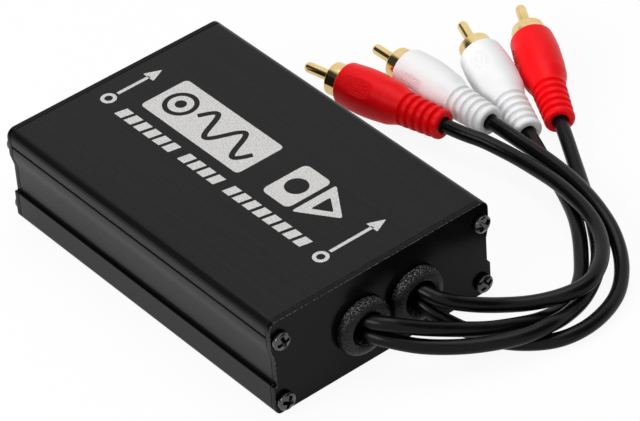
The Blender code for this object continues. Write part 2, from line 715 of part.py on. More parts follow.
def boot_profile():
    """The moulded boot from nose to tail: finger grip, shoulder and ribbed strain relief."""
    nose_base = PLUG_BOOT_LENGTH - PLUG_NOSE_ROUNDING
    body_start = PLUG_NECK_LENGTH + PLUG_SHOULDER_LENGTH
    seat_radius = PLUG_COLLAR_RADIUS + CLEARANCE
    entry_radius = CABLE_RADIUS + CLEARANCE
    profile = [(0.0, PLUG_SEAT), (seat_radius, PLUG_SEAT), (seat_radius, PLUG_BOOT_LENGTH)]
    profile += arc((PLUG_NOSE_RADIUS - PLUG_NOSE_ROUNDING, nose_base), PLUG_NOSE_ROUNDING, 60, 0, 2)
    for share in (0.25, 0.5, 0.75, 1.0):
        swell = math.sin(math.radians(180) * share)
        profile.append((
            PLUG_NOSE_RADIUS + (PLUG_BODY_RADIUS - PLUG_NOSE_RADIUS) * swell,
            nose_base + (body_start - nose_base) * share,
        ))
    for share in (0.35, 0.7):
        fall = 0.5 - 0.5 * math.cos(math.radians(180) * share)
        profile.append((
            PLUG_NOSE_RADIUS + (PLUG_RIB_RADIUS - PLUG_NOSE_RADIUS) * fall,
            body_start - PLUG_SHOULDER_LENGTH * share,
        ))
    for rib in range(PLUG_RIB_COUNT + 1):
        groove_top = PLUG_NECK_LENGTH - rib * PLUG_RIB_PITCH
        profile += [
            (PLUG_RIB_RADIUS, groove_top),
            (PLUG_GROOVE_RADIUS, groove_top - PLUG_RIB_GAP / 2),
            (PLUG_RIB_RADIUS, groove_top - PLUG_RIB_GAP),
        ]
    profile += [
        (PLUG_TAIL_RADIUS, PLUG_TAIL_CHAMFER),
        (PLUG_TAIL_RADIUS - PLUG_TAIL_CHAMFER, 0.0),
        (entry_radius, 0.0),
        (entry_radius, PLUG_CABLE_SEAT),
        (0.0, PLUG_CABLE_SEAT),
    ]
    return profile


def boot_mesh(parts, cutters):
    """The turned boot with a finger grip pressed flat on two opposite sides."""
    item = bpy.data.objects.new(
        "plug_boot_blank", turned_mesh("plug_boot_blank", boot_profile(), False, ROUND_SEGMENTS, parts))
    parts.objects.link(item)
    depth = PLUG_BODY_RADIUS
    slabs = bmesh.new()
    for side in (-1, 1):
        centre = (side * (PLUG_GRIP_THICKNESS + depth) / 2, 0.0, PLUG_BOOT_LENGTH - PLUG_GRIP_LENGTH / 2)
        size = (depth, 2 * PLUG_BODY_RADIUS, PLUG_GRIP_LENGTH)
        bmesh.ops.create_cube(
            slabs, size=1.0, matrix=Matrix.Translation(centre) @ Matrix.Diagonal((*size, 1.0)))
    mesh = bpy.data.meshes.new("grip_flats_cutter")
    slabs.to_mesh(mesh)
    slabs.free()
    cut(item, add_cutter("grip_flats_cutter", mesh, cutters))
    bpy.context.view_layer.update()
    boot = evaluated_mesh(item, "plug_boot")
    bpy.data.objects.remove(item, do_unlink=True)
    return boot


def collar_profile():
    """The plug's outer contact, a plain tube seated in the boot's nose."""
    low = PLUG_SEAT + CLEARANCE
    high = PLUG_BOOT_LENGTH + PLUG_COLLAR_REACH
    inner = PLUG_COLLAR_RADIUS - PLUG_COLLAR_WALL
    return [
        (inner, high), (PLUG_COLLAR_RADIUS - EDGE_CHAMFER, high),
        (PLUG_COLLAR_RADIUS, high - EDGE_CHAMFER),
        (PLUG_COLLAR_RADIUS, low), (inner, low),
    ]


def plug_insulator_profile():
    """The disc that holds the pin in the collar."""
    low = PLUG_SEAT + CLEARANCE
    high = low + PLUG_INSULATOR_LENGTH
    outer = PLUG_COLLAR_RADIUS - PLUG_COLLAR_WALL - CLEARANCE
    inner = PLUG_PIN_RADIUS + CLEARANCE
    return [(inner, high), (outer, high), (outer, low), (inner, low)]


def pin_profile():
    """The centre pin with its round tip."""
    high = PLUG_BOOT_LENGTH + PLUG_COLLAR_REACH + PLUG_PIN_REACH
    tip = arc((0.0, high - PLUG_PIN_RADIUS), PLUG_PIN_RADIUS, 90, 0, 3)
    low = PLUG_SEAT + CLEARANCE
    return tip + [(PLUG_PIN_RADIUS, low), (0.0, low)]


def build_plugs(materials, parts, cutters):
    """A boot, collar, insulator and pin for each lead, lying where the plug lies."""
    meshes = {
        "boot": boot_mesh(parts, cutters),
        "collar": turned_mesh("plug_collar", collar_profile(), True, ROUND_SEGMENTS, parts),
        "insulator": turned_mesh(
            "plug_insulator", plug_insulator_profile(), True, SMALL_ROUND_SEGMENTS, parts),
        "pin": turned_mesh("plug_pin", pin_profile(), False, SMALL_ROUND_SEGMENTS, parts),
    }
    for plug, colour in PLUG_COLOURS.items():
        tail, direction = plug_frame(plug)
        roll = math.radians(PLUG_PLACES[plug][3])
        turn = direction.to_track_quat("Z", "Y").to_matrix() @ Matrix.Rotation(roll, 3, "Z")
        finishes = {
            "boot": f"{colour}_boot",
            "collar": "gold_plate",
            "insulator": "white_insulator",
            "pin": "gold_plate",
        }
        for piece, mesh in meshes.items():
            item = add_object(f"{plug}_{piece}", mesh.copy(), materials[finishes[piece]], parts)
            item.location = tail
            item.rotation_euler = turn.to_euler()


# Board and transformers

def build_board(materials, parts):
    """The circuit board, which slides in the bottom shell's slots."""
    low = -HALF_LENGTH + BOARD_INPUT_SETBACK
    high = HALF_LENGTH - BOARD_OUTPUT_SETBACK
    holes = []
    for side in ("left", "right"):
        for number in range(SOLDER_HOLE_COUNT):
            offset = (number - (SOLDER_HOLE_COUNT - 1) / 2) * SOLDER_HOLE_PITCH
            centre = (grommet_x(side) + offset, low + SOLDER_HOLE_INSET)
            holes.append(circle(centre, SOLDER_HOLE_RADIUS, 8))
    outline = rectangle(BOARD_HALF_WIDTH, low, high)
    mesh = section_mesh("circuit_board", outline, holes, BOARD_THICKNESS, parts)
    board = add_object("circuit_board", mesh, materials["board_laminate"], parts)
    board.location.z = BOARD_UNDERSIDE_HEIGHT + BOARD_THICKNESS / 2


def core_mesh(parts):
    """A stack of E and I laminations with its two windows."""
    leg = CORE_LEG_WIDTH / 2
    window = leg + CORE_WINDOW_WIDTH
    low, high = CORE_YOKE, CORE_HEIGHT - CORE_YOKE
    windows = [
        [(side * leg, low), (side * window, low), (side * window, high), (side * leg, high)]
        for side in (-1, 1)
    ]
    outline = rectangle(CORE_WIDTH / 2, 0.0, CORE_HEIGHT)
    mesh = section_mesh("transformer_core", outline, windows, CORE_STACK, parts)
    return stand_section(mesh, 0.0)


def bobbin_mesh(parts, cutters):
    """The bobbin on the centre leg: a square tube with a flange at each end."""
    bore_x = CORE_LEG_WIDTH / 2 + CLEARANCE
    bore_y = CORE_STACK / 2 + CLEARANCE
    flange_x = CORE_LEG_WIDTH / 2 + CORE_WINDOW_WIDTH - CLEARANCE
    flange_y = bore_y + BOBBIN_WALL + CLEARANCE + WINDING_WALL
    low = CORE_YOKE + CLEARANCE
    high = CORE_HEIGHT - CORE_YOKE - CLEARANCE
    centre = (low + high) / 2
    flanges = section_mesh(
        "bobbin_blank", rounded_rectangle(flange_x, flange_y, BOBBIN_CORNER_RADIUS, 2),
        [rounded_rectangle(bore_x, bore_y, BOBBIN_BORE_RADIUS, 1)], high - low, parts)
    item = bpy.data.objects.new("bobbin_blank", flanges)
    parts.objects.link(item)
    reach = 2 * flange_y
    waist = section_mesh(
        "bobbin_waist_cutter", rounded_rectangle(reach, reach, BOBBIN_CORNER_RADIUS, 1),
        [rounded_rectangle(
            bore_x + BOBBIN_WALL, bore_y + BOBBIN_WALL, WINDING_BORE_RADIUS, 1)],
        high - low - 2 * BOBBIN_FLANGE, cutters)
    cutter = add_cutter("bobbin_waist_cutter", waist, cutters)
    cut(item, cutter)
    bpy.context.view_layer.update()
    mesh = evaluated_mesh(item, "transformer_bobbin")
    bpy.data.objects.remove(item, do_unlink=True)
    mesh.transform(Matrix.Translation((0.0, 0.0, centre)))
    return mesh


def winding_mesh(parts):
    """The taped winding in the bobbin's waist."""
    inner_x = CORE_LEG_WIDTH / 2 + 2 * CLEARANCE + BOBBIN_WALL
    inner_y = CORE_STACK / 2 + 2 * CLEARANCE + BOBBIN_WALL
    height = CORE_HEIGHT - 2 * (CORE_YOKE + BOBBIN_FLANGE + 2 * CLEARANCE)
    outer_x = min(inner_x + WINDING_WALL, CORE_LEG_WIDTH / 2 + CORE_WINDOW_WIDTH - 2 * CLEARANCE)
    mesh = section_mesh(
        "transformer_winding",
        rounded_rectangle(outer_x, inner_y + WINDING_WALL, WINDING_CORNER_RADIUS, 3),
        [rounded_rectangle(inner_x, inner_y, WINDING_BORE_RADIUS, 1)], height, parts)
    mesh.transform(Matrix.Translation((0.0, 0.0, CORE_HEIGHT / 2)))
    return mesh


def build_transformers(materials, parts, cutters):
    """Four transformers on the board, two by two."""
    pieces = (
        ("core", core_mesh(parts), "core_steel"),
        ("bobbin", bobbin_mesh(parts, cutters), "bobbin_nylon"),
        ("winding", winding_mesh(parts), "winding_tape"),
    )
    number = 0
    for row in (-0.5, 0.5):
        for column in (-0.5, 0.5):
            number += 1
            place = (
                column * TRANSFORMER_SPACING_X,
                row * TRANSFORMER_SPACING_Y + TRANSFORMER_SHIFT_Y,
                SEATED_HEIGHT,
            )
            for piece, mesh, finish in pieces:
                item = add_object(f"transformer_{number}_{piece}", mesh, materials[finish], parts)
                item.location = place


# Sockets

def socket_positions():
    """The four sockets' centres across the output end."""
    middle = (SOCKET_COUNT - 1) / 2
    return [(index - middle) * SOCKET_SPACING for index in range(SOCKET_COUNT)]


def build_socket_block(materials, parts, cutters):
    """The moulded block on the board that the four sockets are seated in."""
    size = (2 * SOCKET_BLOCK_HALF_WIDTH, SOCKET_BLOCK_DEPTH, SOCKET_BLOCK_HEIGHT)
    bpy.ops.mesh.primitive_cube_add(size=1.0)
    block = bpy.context.active_object
    block.name = "socket_block"
    block.data.name = "socket_block"
    block.data.transform(Matrix.Diagonal((*size, 1.0)))
    for collection in list(block.users_collection):
        collection.objects.unlink(block)
    parts.objects.link(block)
    block.data.materials.append(materials["socket_block"])
    block.location = (0.0, HALF_LENGTH - SOCKET_BLOCK_DEPTH / 2, SOCKET_HEIGHT)
    bevel = block.modifiers.new("Edges", "BEVEL")
    bevel.width = SOCKET_BLOCK_EDGE
    bevel.segments = 1
    for index, x in enumerate(socket_positions()):
        bore = bmesh.new()
        bmesh.ops.create_cone(
            bore, cap_ends=True, segments=ROUND_SEGMENTS,
            radius1=SOCKET_HOLE_RADIUS, radius2=SOCKET_HOLE_RADIUS, depth=2 * SOCKET_SEAT_DEPTH)
        mesh = bpy.data.meshes.new(f"socket_bore_{index + 1}")
        bore.to_mesh(mesh)
        bore.free()
        cutter = add_cutter(f"socket_bore_{index + 1}", mesh, cutters)
        cutter.location = (x, HALF_LENGTH, SOCKET_HEIGHT)
        cutter.rotation_euler.x = math.radians(90)
        cut(block, cutter)


def socket_profiles():
    """Half sections of a socket's sleeve, insulator and contact; height 0 is the seat's floor."""
    floor = CLEARANCE
    flange_low = PLATE_OUTER_Y + CLEARANCE - SOCKET_SEAT_Y
    flange_high = flange_low + SOCKET_FLANGE_THICKNESS
    front = PLATE_OUTER_Y + SOCKET_REACH - SOCKET_SEAT_Y
    bore = SOCKET_SLEEVE_RADIUS - SOCKET_SLEEVE_WALL
    sleeve = [
        (bore, front), (SOCKET_SLEEVE_RADIUS - EDGE_CHAMFER, front),
        (SOCKET_SLEEVE_RADIUS, front - EDGE_CHAMFER), (SOCKET_SLEEVE_RADIUS, flange_high),
        (SOCKET_FLANGE_RADIUS - EDGE_CHAMFER, flange_high),
        (SOCKET_FLANGE_RADIUS, flange_high - EDGE_CHAMFER),
        (SOCKET_FLANGE_RADIUS, flange_low), (SOCKET_SLEEVE_RADIUS, flange_low),
        (SOCKET_SLEEVE_RADIUS, floor), (bore, floor),
    ]
    insulator_front = front - SOCKET_INSULATOR_SETBACK
    insulator_bore = SOCKET_CONTACT_RADIUS + CLEARANCE
    insulator = [
        (insulator_bore, insulator_front), (bore - CLEARANCE, insulator_front),
        (bore - CLEARANCE, floor), (insulator_bore, floor),
    ]
    contact_front = insulator_front - SOCKET_INSULATOR_SETBACK
    contact_bore = SOCKET_CONTACT_RADIUS - SOCKET_CONTACT_WALL
    contact = [
        (contact_bore, contact_front), (SOCKET_CONTACT_RADIUS, contact_front),
        (SOCKET_CONTACT_RADIUS, floor), (contact_bore, floor),
    ]
    return {"sleeve": sleeve, "insulator": insulator, "contact": contact}


def build_sockets(materials, parts):
    """A sleeve, an insulator and a centre contact in each seat of the block."""
    meshes = {}
    for piece, profile in socket_profiles().items():
        segments = SMALL_ROUND_SEGMENTS if piece == "contact" else ROUND_SEGMENTS
        meshes[piece] = turned_mesh(f"socket_{piece}", profile, True, segments, parts)
    for index, (x, colour) in enumerate(zip(socket_positions(), SOCKET_COLOURS)):
        finishes = {
            "sleeve": "gold_plate",
            "insulator": f"{colour}_insulator",
            "contact": "gold_plate",
        }
        for piece, mesh in meshes.items():
            item = add_object(
                f"socket_{index + 1}_{piece}", mesh.copy(), materials[finishes[piece]], parts)
            item.location = (x, SOCKET_SEAT_Y, SOCKET_HEIGHT)
            item.rotation_euler.x = math.radians(-90)


def main():
    """Build every piece of the isolator."""
    clear_scene()
    parts = new_collection("ground_loop_isolator")
    cutters = new_collection("cutters")
    materials = make_materials()
    build_case(materials, parts)
    build_screws(materials, parts, cutters)
    build_grommets(materials, parts)
    build_cables(materials, parts)
    build_plugs(materials, parts, cutters)
    build_board(materials, parts)
    build_transformers(materials, parts, cutters)
    build_socket_block(materials, parts, cutters)
    build_sockets(materials, parts)


main()
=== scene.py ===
"""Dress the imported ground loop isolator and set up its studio.

The case, end plates, screws, grommets, leads, plugs and sockets are rebuilt here with fine edges
and real finishes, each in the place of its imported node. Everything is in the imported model's frame:
metres, +Z up, leads leaving at -Y, origin under the middle of the case.
"""

import logging
import math
from dataclasses import dataclass, field
from enum import Enum

import bmesh
import bpy
from bpy.types import ID, Material, Mesh, Node, NodeSocket, NodeTree, Object
from mathutils import Matrix, Vector


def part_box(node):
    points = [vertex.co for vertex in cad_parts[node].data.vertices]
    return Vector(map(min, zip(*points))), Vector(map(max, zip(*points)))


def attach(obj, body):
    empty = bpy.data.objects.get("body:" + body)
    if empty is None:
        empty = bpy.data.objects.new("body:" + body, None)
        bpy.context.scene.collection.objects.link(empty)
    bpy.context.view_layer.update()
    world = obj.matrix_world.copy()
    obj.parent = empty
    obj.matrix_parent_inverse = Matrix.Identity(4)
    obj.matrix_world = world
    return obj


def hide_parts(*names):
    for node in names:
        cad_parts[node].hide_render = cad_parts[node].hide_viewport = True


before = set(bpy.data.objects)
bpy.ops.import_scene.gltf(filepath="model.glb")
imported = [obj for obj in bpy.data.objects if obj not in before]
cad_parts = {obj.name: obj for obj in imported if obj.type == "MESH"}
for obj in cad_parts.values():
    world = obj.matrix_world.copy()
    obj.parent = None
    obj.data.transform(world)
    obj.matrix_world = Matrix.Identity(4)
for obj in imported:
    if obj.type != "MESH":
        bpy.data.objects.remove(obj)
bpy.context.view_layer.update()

MM = 0.001
LOG = logging.getLogger("ground_loop_isolator")
CHANNEL_NUMBERS = range(1, 5)
Point = tuple[float, float]
Spot = tuple[float, float, float]
# The radius of a circle or the reach of a rounding, and the steps that draw it
Round = tuple[float, int]


# Choices

class Hand(Enum):
    """A side of the case, seen from its input end."""

    LEFT = -1
    RIGHT = 1


class Level(Enum):
    """The half of a grommet's hole that a lead leaves by."""

    UPPER = 0.5
    LOWER = -0.5


class End(Enum):
    """An end of the case, as the sign of its Y."""

    INPUT = -1
    OUTPUT = 1


class Channel(Enum):
    """The colour code of a stereo channel's plug or socket."""

    RED = "red"
    WHITE = "white"


# Node and mesh helpers

def srgb(code: str) -> tuple[float, float, float, float]:
    """Turn an sRGB hex colour into linear RGBA.

    Args:
        code: Colour such as "#1c1c1e".

    Returns:
        Linear red, green, blue and an alpha of 1.
    """
    linear = []
    for digit in (1, 3, 5):
        value = int(code[digit:digit + 2], 16) / 255
        linear.append(value / 12.92 if value <= 0.04045 else ((value + 0.055) / 1.055) ** 2.4)
    return (*linear, 1.0)


def add_node(tree: NodeTree, kind: str, inputs: dict | None = None,
             **settings: object) -> Node:
    """Add a node with its settings, its input values and its links.

    Args:
        tree: Node tree that gets the node.
        kind: Blender's name for the node type.
        inputs: Value or linked output socket for each input, by name or index.
        settings: Node properties, set before the inputs.

    Returns:
        The new node.
    """
    node = tree.nodes.new(kind)
    for name, value in settings.items():
        setattr(node, name, value)
    for key, value in (inputs or {}).items():
        if isinstance(value, NodeSocket):
            tree.links.new(value, node.inputs[key])
        else:
            node.inputs[key].default_value = value
    return node


def bare_tree(owner: ID) -> NodeTree:
    """Give a material or a world an empty node tree.

    Args:
        owner: Material or world.

    Returns:
        Its tree, without nodes.
    """
    owner.use_nodes = True
    owner.node_tree.nodes.clear()
    return owner.node_tree


def arc(centre: Point, radius: float, start: float, end: float, steps: int) -> list[Point]:
    """Points along a circular arc.

    Args:
        centre: Middle of the circle.
        radius: Its radius.
        start: First angle in degrees.
        end: Last angle in degrees.
        steps: Number of equal parts.

    Returns:
        Points with both ends included.
    """
    angles = [math.radians(start + (end - start) * step / steps) for step in range(steps + 1)]
    return [(centre[0] + radius * math.cos(a), centre[1] + radius * math.sin(a)) for a in angles]


def ring(centre: Point, radius: float, steps: int) -> list[Point]:
    """Points of a closed circle, anticlockwise."""
    return arc(centre, radius, 0, 360 - 360 / steps, steps - 1)


def box_outline(low: Point, high: Point) -> list[Point]:
    """Corners of an upright rectangle, anticlockwise."""
    return [low, (high[0], low[1]), high, (low[0], high[1])]


def mirrored(half: list[Point]) -> list[Point]:
    """Close an outline from its +X half, whose ends are on the centre line."""
    return half + [(-x, y) for x, y in reversed(half[1:-1])]


def eased(outline: list[Point], reach: float, steps: int = 3, closed: bool = True,
          straight: float = 150.0, longest: float = 0.45) -> list[Point]:
    """Round each sharp corner of an outline.

    Args:
        outline: Corner points.
        reach: How far along each side a corner is cut.
        steps: Parts in each rounding.
        closed: Whether the last point joins the first.
        straight: Angle in degrees above which a corner is left as it is.
        longest: Largest share of a side that a corner may take.

    Returns:
        The outline with its corners turned into short curves.
    """
    count = len(outline)
    rounded = []
    for index, point in enumerate(outline):
        if not closed and index in (0, count - 1):
            rounded.append(point)
            continue
        here = Vector(point)
        before = Vector(outline[index - 1]) - here
        after = Vector(outline[(index + 1) % count]) - here
        flat = min(before.length, after.length) == 0
        if flat or before.angle(after) > math.radians(straight):
            rounded.append(point)
            continue
        start = here + before.normalized() * min(reach, longest * before.length)
        end = here + after.normalized() * min(reach, longest * after.length)
        for step in range(steps + 1):
            t = step / steps
            rounded.append(tuple((1 - t) ** 2 * start + 2 * t * (1 - t) * here + t * t * end))
    return rounded


def wound(outline: list[Point], anticlockwise: bool) -> list[Point]:
    """Give an outline the asked direction."""
    area = sum(a[0] * b[1] - b[0] * a[1] for a, b in zip(outline, outline[1:] + outline[:1]))
    return outline if (area > 0) == anticlockwise else outline[::-1]


def finish_mesh(mesh: Mesh, sharp: float, weld: float = 0.0005 * MM) -> Mesh:
    """Weld a mesh, point its faces outwards and shade it smooth.

    Args:
        mesh: Mesh to clean.
        sharp: Angle in degrees above which an edge stays sharp.
        weld: Distance within which points become one.

    Returns:
        The same mesh.
    """
    edit = bmesh.new()
    edit.from_mesh(mesh)
    bmesh.ops.remove_doubles(edit, verts=edit.verts, dist=weld)
    bmesh.ops.dissolve_degenerate(edit, edges=edit.edges, dist=weld)
    bmesh.ops.recalc_face_normals(edit, faces=edit.faces)
    edit.to_mesh(mesh)
    edit.free()
    mesh.shade_smooth()
    mesh.set_sharp_from_angle(angle=math.radians(sharp))
    return mesh


def baked(item: Object, name: str) -> Mesh:
    """Turn an object with live modifiers into a plain mesh, and remove the object.

    Args:
        item: Object that is evaluated.
        name: Name of the new mesh.

    Returns:
        The evaluated mesh.
    """
    bpy.context.view_layer.update()
    depsgraph = bpy.context.evaluated_depsgraph_get()
    mesh = bpy.data.meshes.new_from_object(item.evaluated_get(depsgraph))
    mesh.name = name
    bpy.data.objects.remove(item, do_unlink=True)
    return mesh


def linked(name: str, data: ID) -> Object:
    """Make an object and link it to the scene.

    Args:
        name: Name of the object.
        data: What it shows.

    Returns:
        The object, at the origin.
    """
    item = bpy.data.objects.new(name, data)
    bpy.context.scene.collection.objects.link(item)
    return item


def extruded(name: str, outline: list[Point], holes: list[list[Point]], thickness: float,
             edge: float = 0.0, sharp: float = 50.0) -> Mesh:
    """Extrude a section both ways from its own XY plane.

    Args:
        name: Name of the mesh.
        outline: Outer ring.
        holes: Rings inside it.
        thickness: Full thickness.
        edge: Size of the rounded edge between the faces and the walls.
        sharp: Angle in degrees above which an edge stays sharp.

    Returns:
        A closed mesh.
    """
    curve = bpy.data.curves.new(name, "CURVE")
    curve.dimensions = "2D"
    curve.fill_mode = "BOTH"
    curve.extrude = thickness / 2 - edge
    curve.bevel_depth = edge
    curve.bevel_resolution = 1
    curve.offset = -edge
    rings = [wound(outline, True)] + [wound(hole, False) for hole in holes]
    for points in rings:
        spline = curve.splines.new("POLY")
        spline.points.add(len(points) - 1)
        for spline_point, (x, y) in zip(spline.points, points):
            spline_point.co = (x, y, 0.0, 1.0)
        spline.use_cyclic_u = True
    return flat_faced(finish_mesh(baked(linked(name, curve), name), sharp))


def flat_faced(mesh: Mesh, weight: int = 100) -> Mesh:
    """Let large faces lead the shading, so that they look flat beside small ones.

    Args:
        mesh: Mesh with its sharp edges set.
        weight: How much more a large face counts.

    Returns:
        A mesh with its own normals.
    """
    solid = linked(mesh.name, mesh)
    weighted = solid.modifiers.new("Flat faces stay flat", "WEIGHTED_NORMAL")
    weighted.mode = "FACE_AREA"
    weighted.weight = weight
    weighted.keep_sharp = True
    return baked(solid, mesh.name)


def lofted(name: str, rows: list[list[Spot]], closed: bool = False,
           sharp: float = 40.0) -> Mesh:
    """Skin rings of points that all run round Z.

    Args:
        name: Name of the mesh.
        rows: Rings with the same number of points.
        closed: Whether the last ring joins the first.
        sharp: Angle in degrees above which an edge stays sharp.

    Returns:
        A mesh, closed where its end rings shrink to a point.
    """
    count = len(rows[0])
    faces = []
    for row in range(len(rows) if closed else len(rows) - 1):
        following = (row + 1) % len(rows)
        for step in range(count):
            side = (step + 1) % count
            faces.append((row * count + step, row * count + side,
                          following * count + side, following * count + step))
    mesh = bpy.data.meshes.new(name)
    mesh.from_pydata([point for row in rows for point in row], [], faces)
    return finish_mesh(mesh, sharp)


def turned(name: str, profile: list[Point], segments: int, closed: bool = False) -> Mesh:
    """Turn a profile about Z.

    Args:
        name: Name of the mesh.
        profile: Points of (radius, height).
        segments: Parts of a full turn.
        closed: Whether the profile is a closed ring.

    Returns:
        A closed mesh.
    """
    angles = [math.radians(360) * step / segments for step in range(segments)]
    rows = [[(radius * math.cos(angle), radius * math.sin(angle), height) for angle in angles]
            for radius, height in profile]
    return lofted(name, rows, closed)


def joined(name: str, meshes: list[Mesh]) -> Mesh:
    """Put several meshes into one.

    Args:
        name: Name of the result.
        meshes: Meshes in one frame.

    Returns:
        One mesh of all of them.
    """
    edit = bmesh.new()
    for mesh in meshes:
        edit.from_mesh(mesh)
    together = bpy.data.meshes.new(name)
    edit.to_mesh(together)
    edit.free()
    return together


def rotation(degrees: float, axis: str) -> Matrix:
    """A turn about one of the main axes."""
    return Matrix.Rotation(math.radians(degrees), 4, axis)


def upright(mesh: Mesh, centre_y: float) -> Mesh:
    """Stand a section drawn in XY up in XZ, its thickness along Y."""
    mesh.transform(Matrix.Translation((0.0, centre_y, 0.0)) @ rotation(90, "X"))
    return mesh


def middle(node: str) -> Vector:
    """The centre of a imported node's box."""
    low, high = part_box(node)
    return (low + high) / 2


def smoothstep(value: float) -> float:
    """Ease a share from 0 to 1."""
    share = min(max(value, 0.0), 1.0)
    return share * share * (3 - 2 * share)


# Finishes

@dataclass(frozen=True)
class Flecks:
    """Flecks of a tint that lie on a finish, each about as large as size."""

    tint: str
    size: float
    # Finer levels of the noise, and its values where a fleck begins and is full
    detail: float
    limits: Point

    def over(self, tree: NodeTree, place: NodeSocket, colour: NodeSocket,
             where: NodeSocket) -> NodeSocket:
        """Lay the flecks over a colour.

        Args:
            tree: The material's tree.
            place: Object coordinates, in metres.
            colour: Colour below the flecks.
            where: Factor from 0 to 1 for how much a fleck may cover.

        Returns:
            The colour with its flecks.
        """
        noise = add_node(tree, "ShaderNodeTexNoise", {
            "Vector": place, "Scale": 1 / self.size, "Detail": self.detail})
        spots = add_node(tree, "ShaderNodeMapRange", {
            "Value": noise.outputs["Fac"], "From Min": self.limits[0],
            "From Max": self.limits[1]})
        share = add_node(tree, "ShaderNodeMath", {0: where, 1: spots.outputs["Result"]},
                         operation="MULTIPLY")
        return add_node(tree, "ShaderNodeMix", {
            0: share.outputs[0], 6: colour, 7: srgb(self.tint)}, data_type="RGBA").outputs[2]


@dataclass(frozen=True)
class Finish:
    """One Principled shader whose colour and gloss follow a pattern, with a fine relief."""

    name: str
    slot: str
    dark: str = "#101010"
    light: str = "#1a1a1a"
    metallic: float = 0.0
    specular: float = 0.5
    smooth: float = 0.3
    rough: float = 0.45
    depth: float = 0.01 * MM
    strength: float = 0.3
    # Pattern values that are fully dark and fully light
    contrast: Point = (0.0, 1.0)
    flecks: Flecks | None = None

    def build(self) -> Material:
        """Make the material.

        Returns:
            A material that goes from dark and smooth to light and rough with its pattern.
        """
        material = bpy.data.materials.new(self.name)
        tree = bare_tree(material)
        coordinates = add_node(tree, "ShaderNodeTexCoord")
        place = coordinates.outputs["Object"]
        pattern, relief = self.patterns(tree, place)
        clear = add_node(tree, "ShaderNodeMapRange", {
            "Value": pattern, "From Min": self.contrast[0],
            "From Max": self.contrast[1]}).outputs["Result"]
        colour = add_node(tree, "ShaderNodeMix", {
            0: clear, 6: srgb(self.dark), 7: srgb(self.light)}, data_type="RGBA").outputs[2]
        if self.flecks:
            facing = add_node(tree, "ShaderNodeSeparateXYZ", {0: coordinates.outputs["Normal"]})
            colour = self.flecks.over(tree, place, colour, self.fleck_cover(tree, facing))
        gloss = add_node(tree, "ShaderNodeMapRange", {
            "Value": clear, "To Min": self.smooth, "To Max": self.rough})
        bump = add_node(tree, "ShaderNodeBump", {
            "Strength": self.strength, "Distance": self.depth, "Height": relief})
        shader = add_node(tree, "ShaderNodeBsdfPrincipled", {
            "Base Color": colour, "Roughness": gloss.outputs["Result"],
            "Normal": bump.outputs["Normal"],
            "Metallic": self.metallic, "Specular IOR Level": self.specular})
        add_node(tree, "ShaderNodeOutputMaterial", {"Surface": shader.outputs["BSDF"]})
        return material

    def patterns(self, tree: NodeTree, place: NodeSocket) -> tuple[NodeSocket, NodeSocket]:
        """Draw the finish's patterns.

        Args:
            tree: The material's tree.
            place: Object coordinates, in metres.

        Returns:
            The pattern of colour and gloss, and that of the relief, both from 0 to 1.
        """
        raise NotImplementedError

    def fleck_cover(self, tree: NodeTree, facing: Node) -> NodeSocket:
        """Say where flecks lie; only a finish with flecks needs it.

        Args:
            tree: The material's tree.
            facing: Node that gives the X, Y and Z of the surface's own normal.

        Returns:
            Factor from 0 to 1 for how much a fleck may cover.
        """
        raise NotImplementedError


@dataclass(frozen=True)
class AnodisedAluminium(Finish):
    """Black dyed anodised extrusion: matt, with die lines along it and a fine etch grain."""

    dark: str = "#09090a"
    light: str = "#131314"
    specular: float = 0.13
    smooth: float = 0.2
    rough: float = 0.32
    depth: float = 0.02 * MM
    strength: float = 0.35
    line_width: float = 0.45 * MM
    line_length: float = 45.0 * MM
    # The etch grain is about 0.05 mm and is drawn at 0.3 mm, so that it shows
    grain: float = 0.3 * MM
    grain_share: float = 0.5
    contrast: Point = (0.3, 0.7)

    def patterns(self, tree: NodeTree, place: NodeSocket) -> tuple[NodeSocket, NodeSocket]:
        """Draw die lines along Y over the etch grain.

        Args:
            tree: The material's tree.
            place: Object coordinates, in metres.

        Returns:
            Lines and grain together, for colour and gloss and for the relief.
        """
        stretch = add_node(tree, "ShaderNodeMapping", {
            "Vector": place, "Scale": (1.0, self.line_width / self.line_length, 1.0)})
        lines = add_node(tree, "ShaderNodeTexNoise", {
            "Vector": stretch.outputs["Vector"], "Scale": 1 / self.line_width,
            "Detail": 2.0, "Roughness": 0.5})
        grain = add_node(tree, "ShaderNodeTexNoise", {
            "Vector": place, "Scale": 1 / self.grain, "Detail": 2.0, "Roughness": 0.6})
        both = add_node(tree, "ShaderNodeMix", {
            0: self.grain_share, 2: lines.outputs["Fac"],
            3: grain.outputs["Fac"]}).outputs[0]
        return both, both


@dataclass(frozen=True)
class PlateWithPaintedEdgeHighlight(AnodisedAluminium):
    """The same dye on a sheared plate, with a painted highlight of pale flecks along its rounded
    edges.
    """

    flecks: Flecks = Flecks("#68686a", 0.8 * MM, 3.0, (0.42, 0.66))
    # Share of the painted edge highlight against how far the surface faces along Y: 1 is the face and
    # 0 the rim
    edge_highlight_curve: tuple[Point, ...] = ((0.15, 0.0), (0.4, 1.0), (0.85, 1.0), (0.97, 0.0))

    def fleck_cover(self, tree: NodeTree, facing: Node) -> NodeSocket:
        """Paint a highlight of pale flecks on the rounded edge between the plate's face and its rim.

        Args:
            tree: The material's tree.
            facing: Node that gives the X, Y and Z of the surface's own normal.

        Returns:
            1 on the rounded edge and 0 on the face and the rim.
        """
        along = add_node(tree, "ShaderNodeMath", {0: facing.outputs["Y"]}, operation="ABSOLUTE")
        edge = add_node(tree, "ShaderNodeFloatCurve", {"Value": along.outputs[0]})
        points = edge.mapping.curves[0].points
        points[0].location, points[1].location = (0.0, 0.0), (1.0, 0.0)
        for point in self.edge_highlight_curve:
            points.new(*point)
        edge.mapping.update()
        return edge.outputs[0]


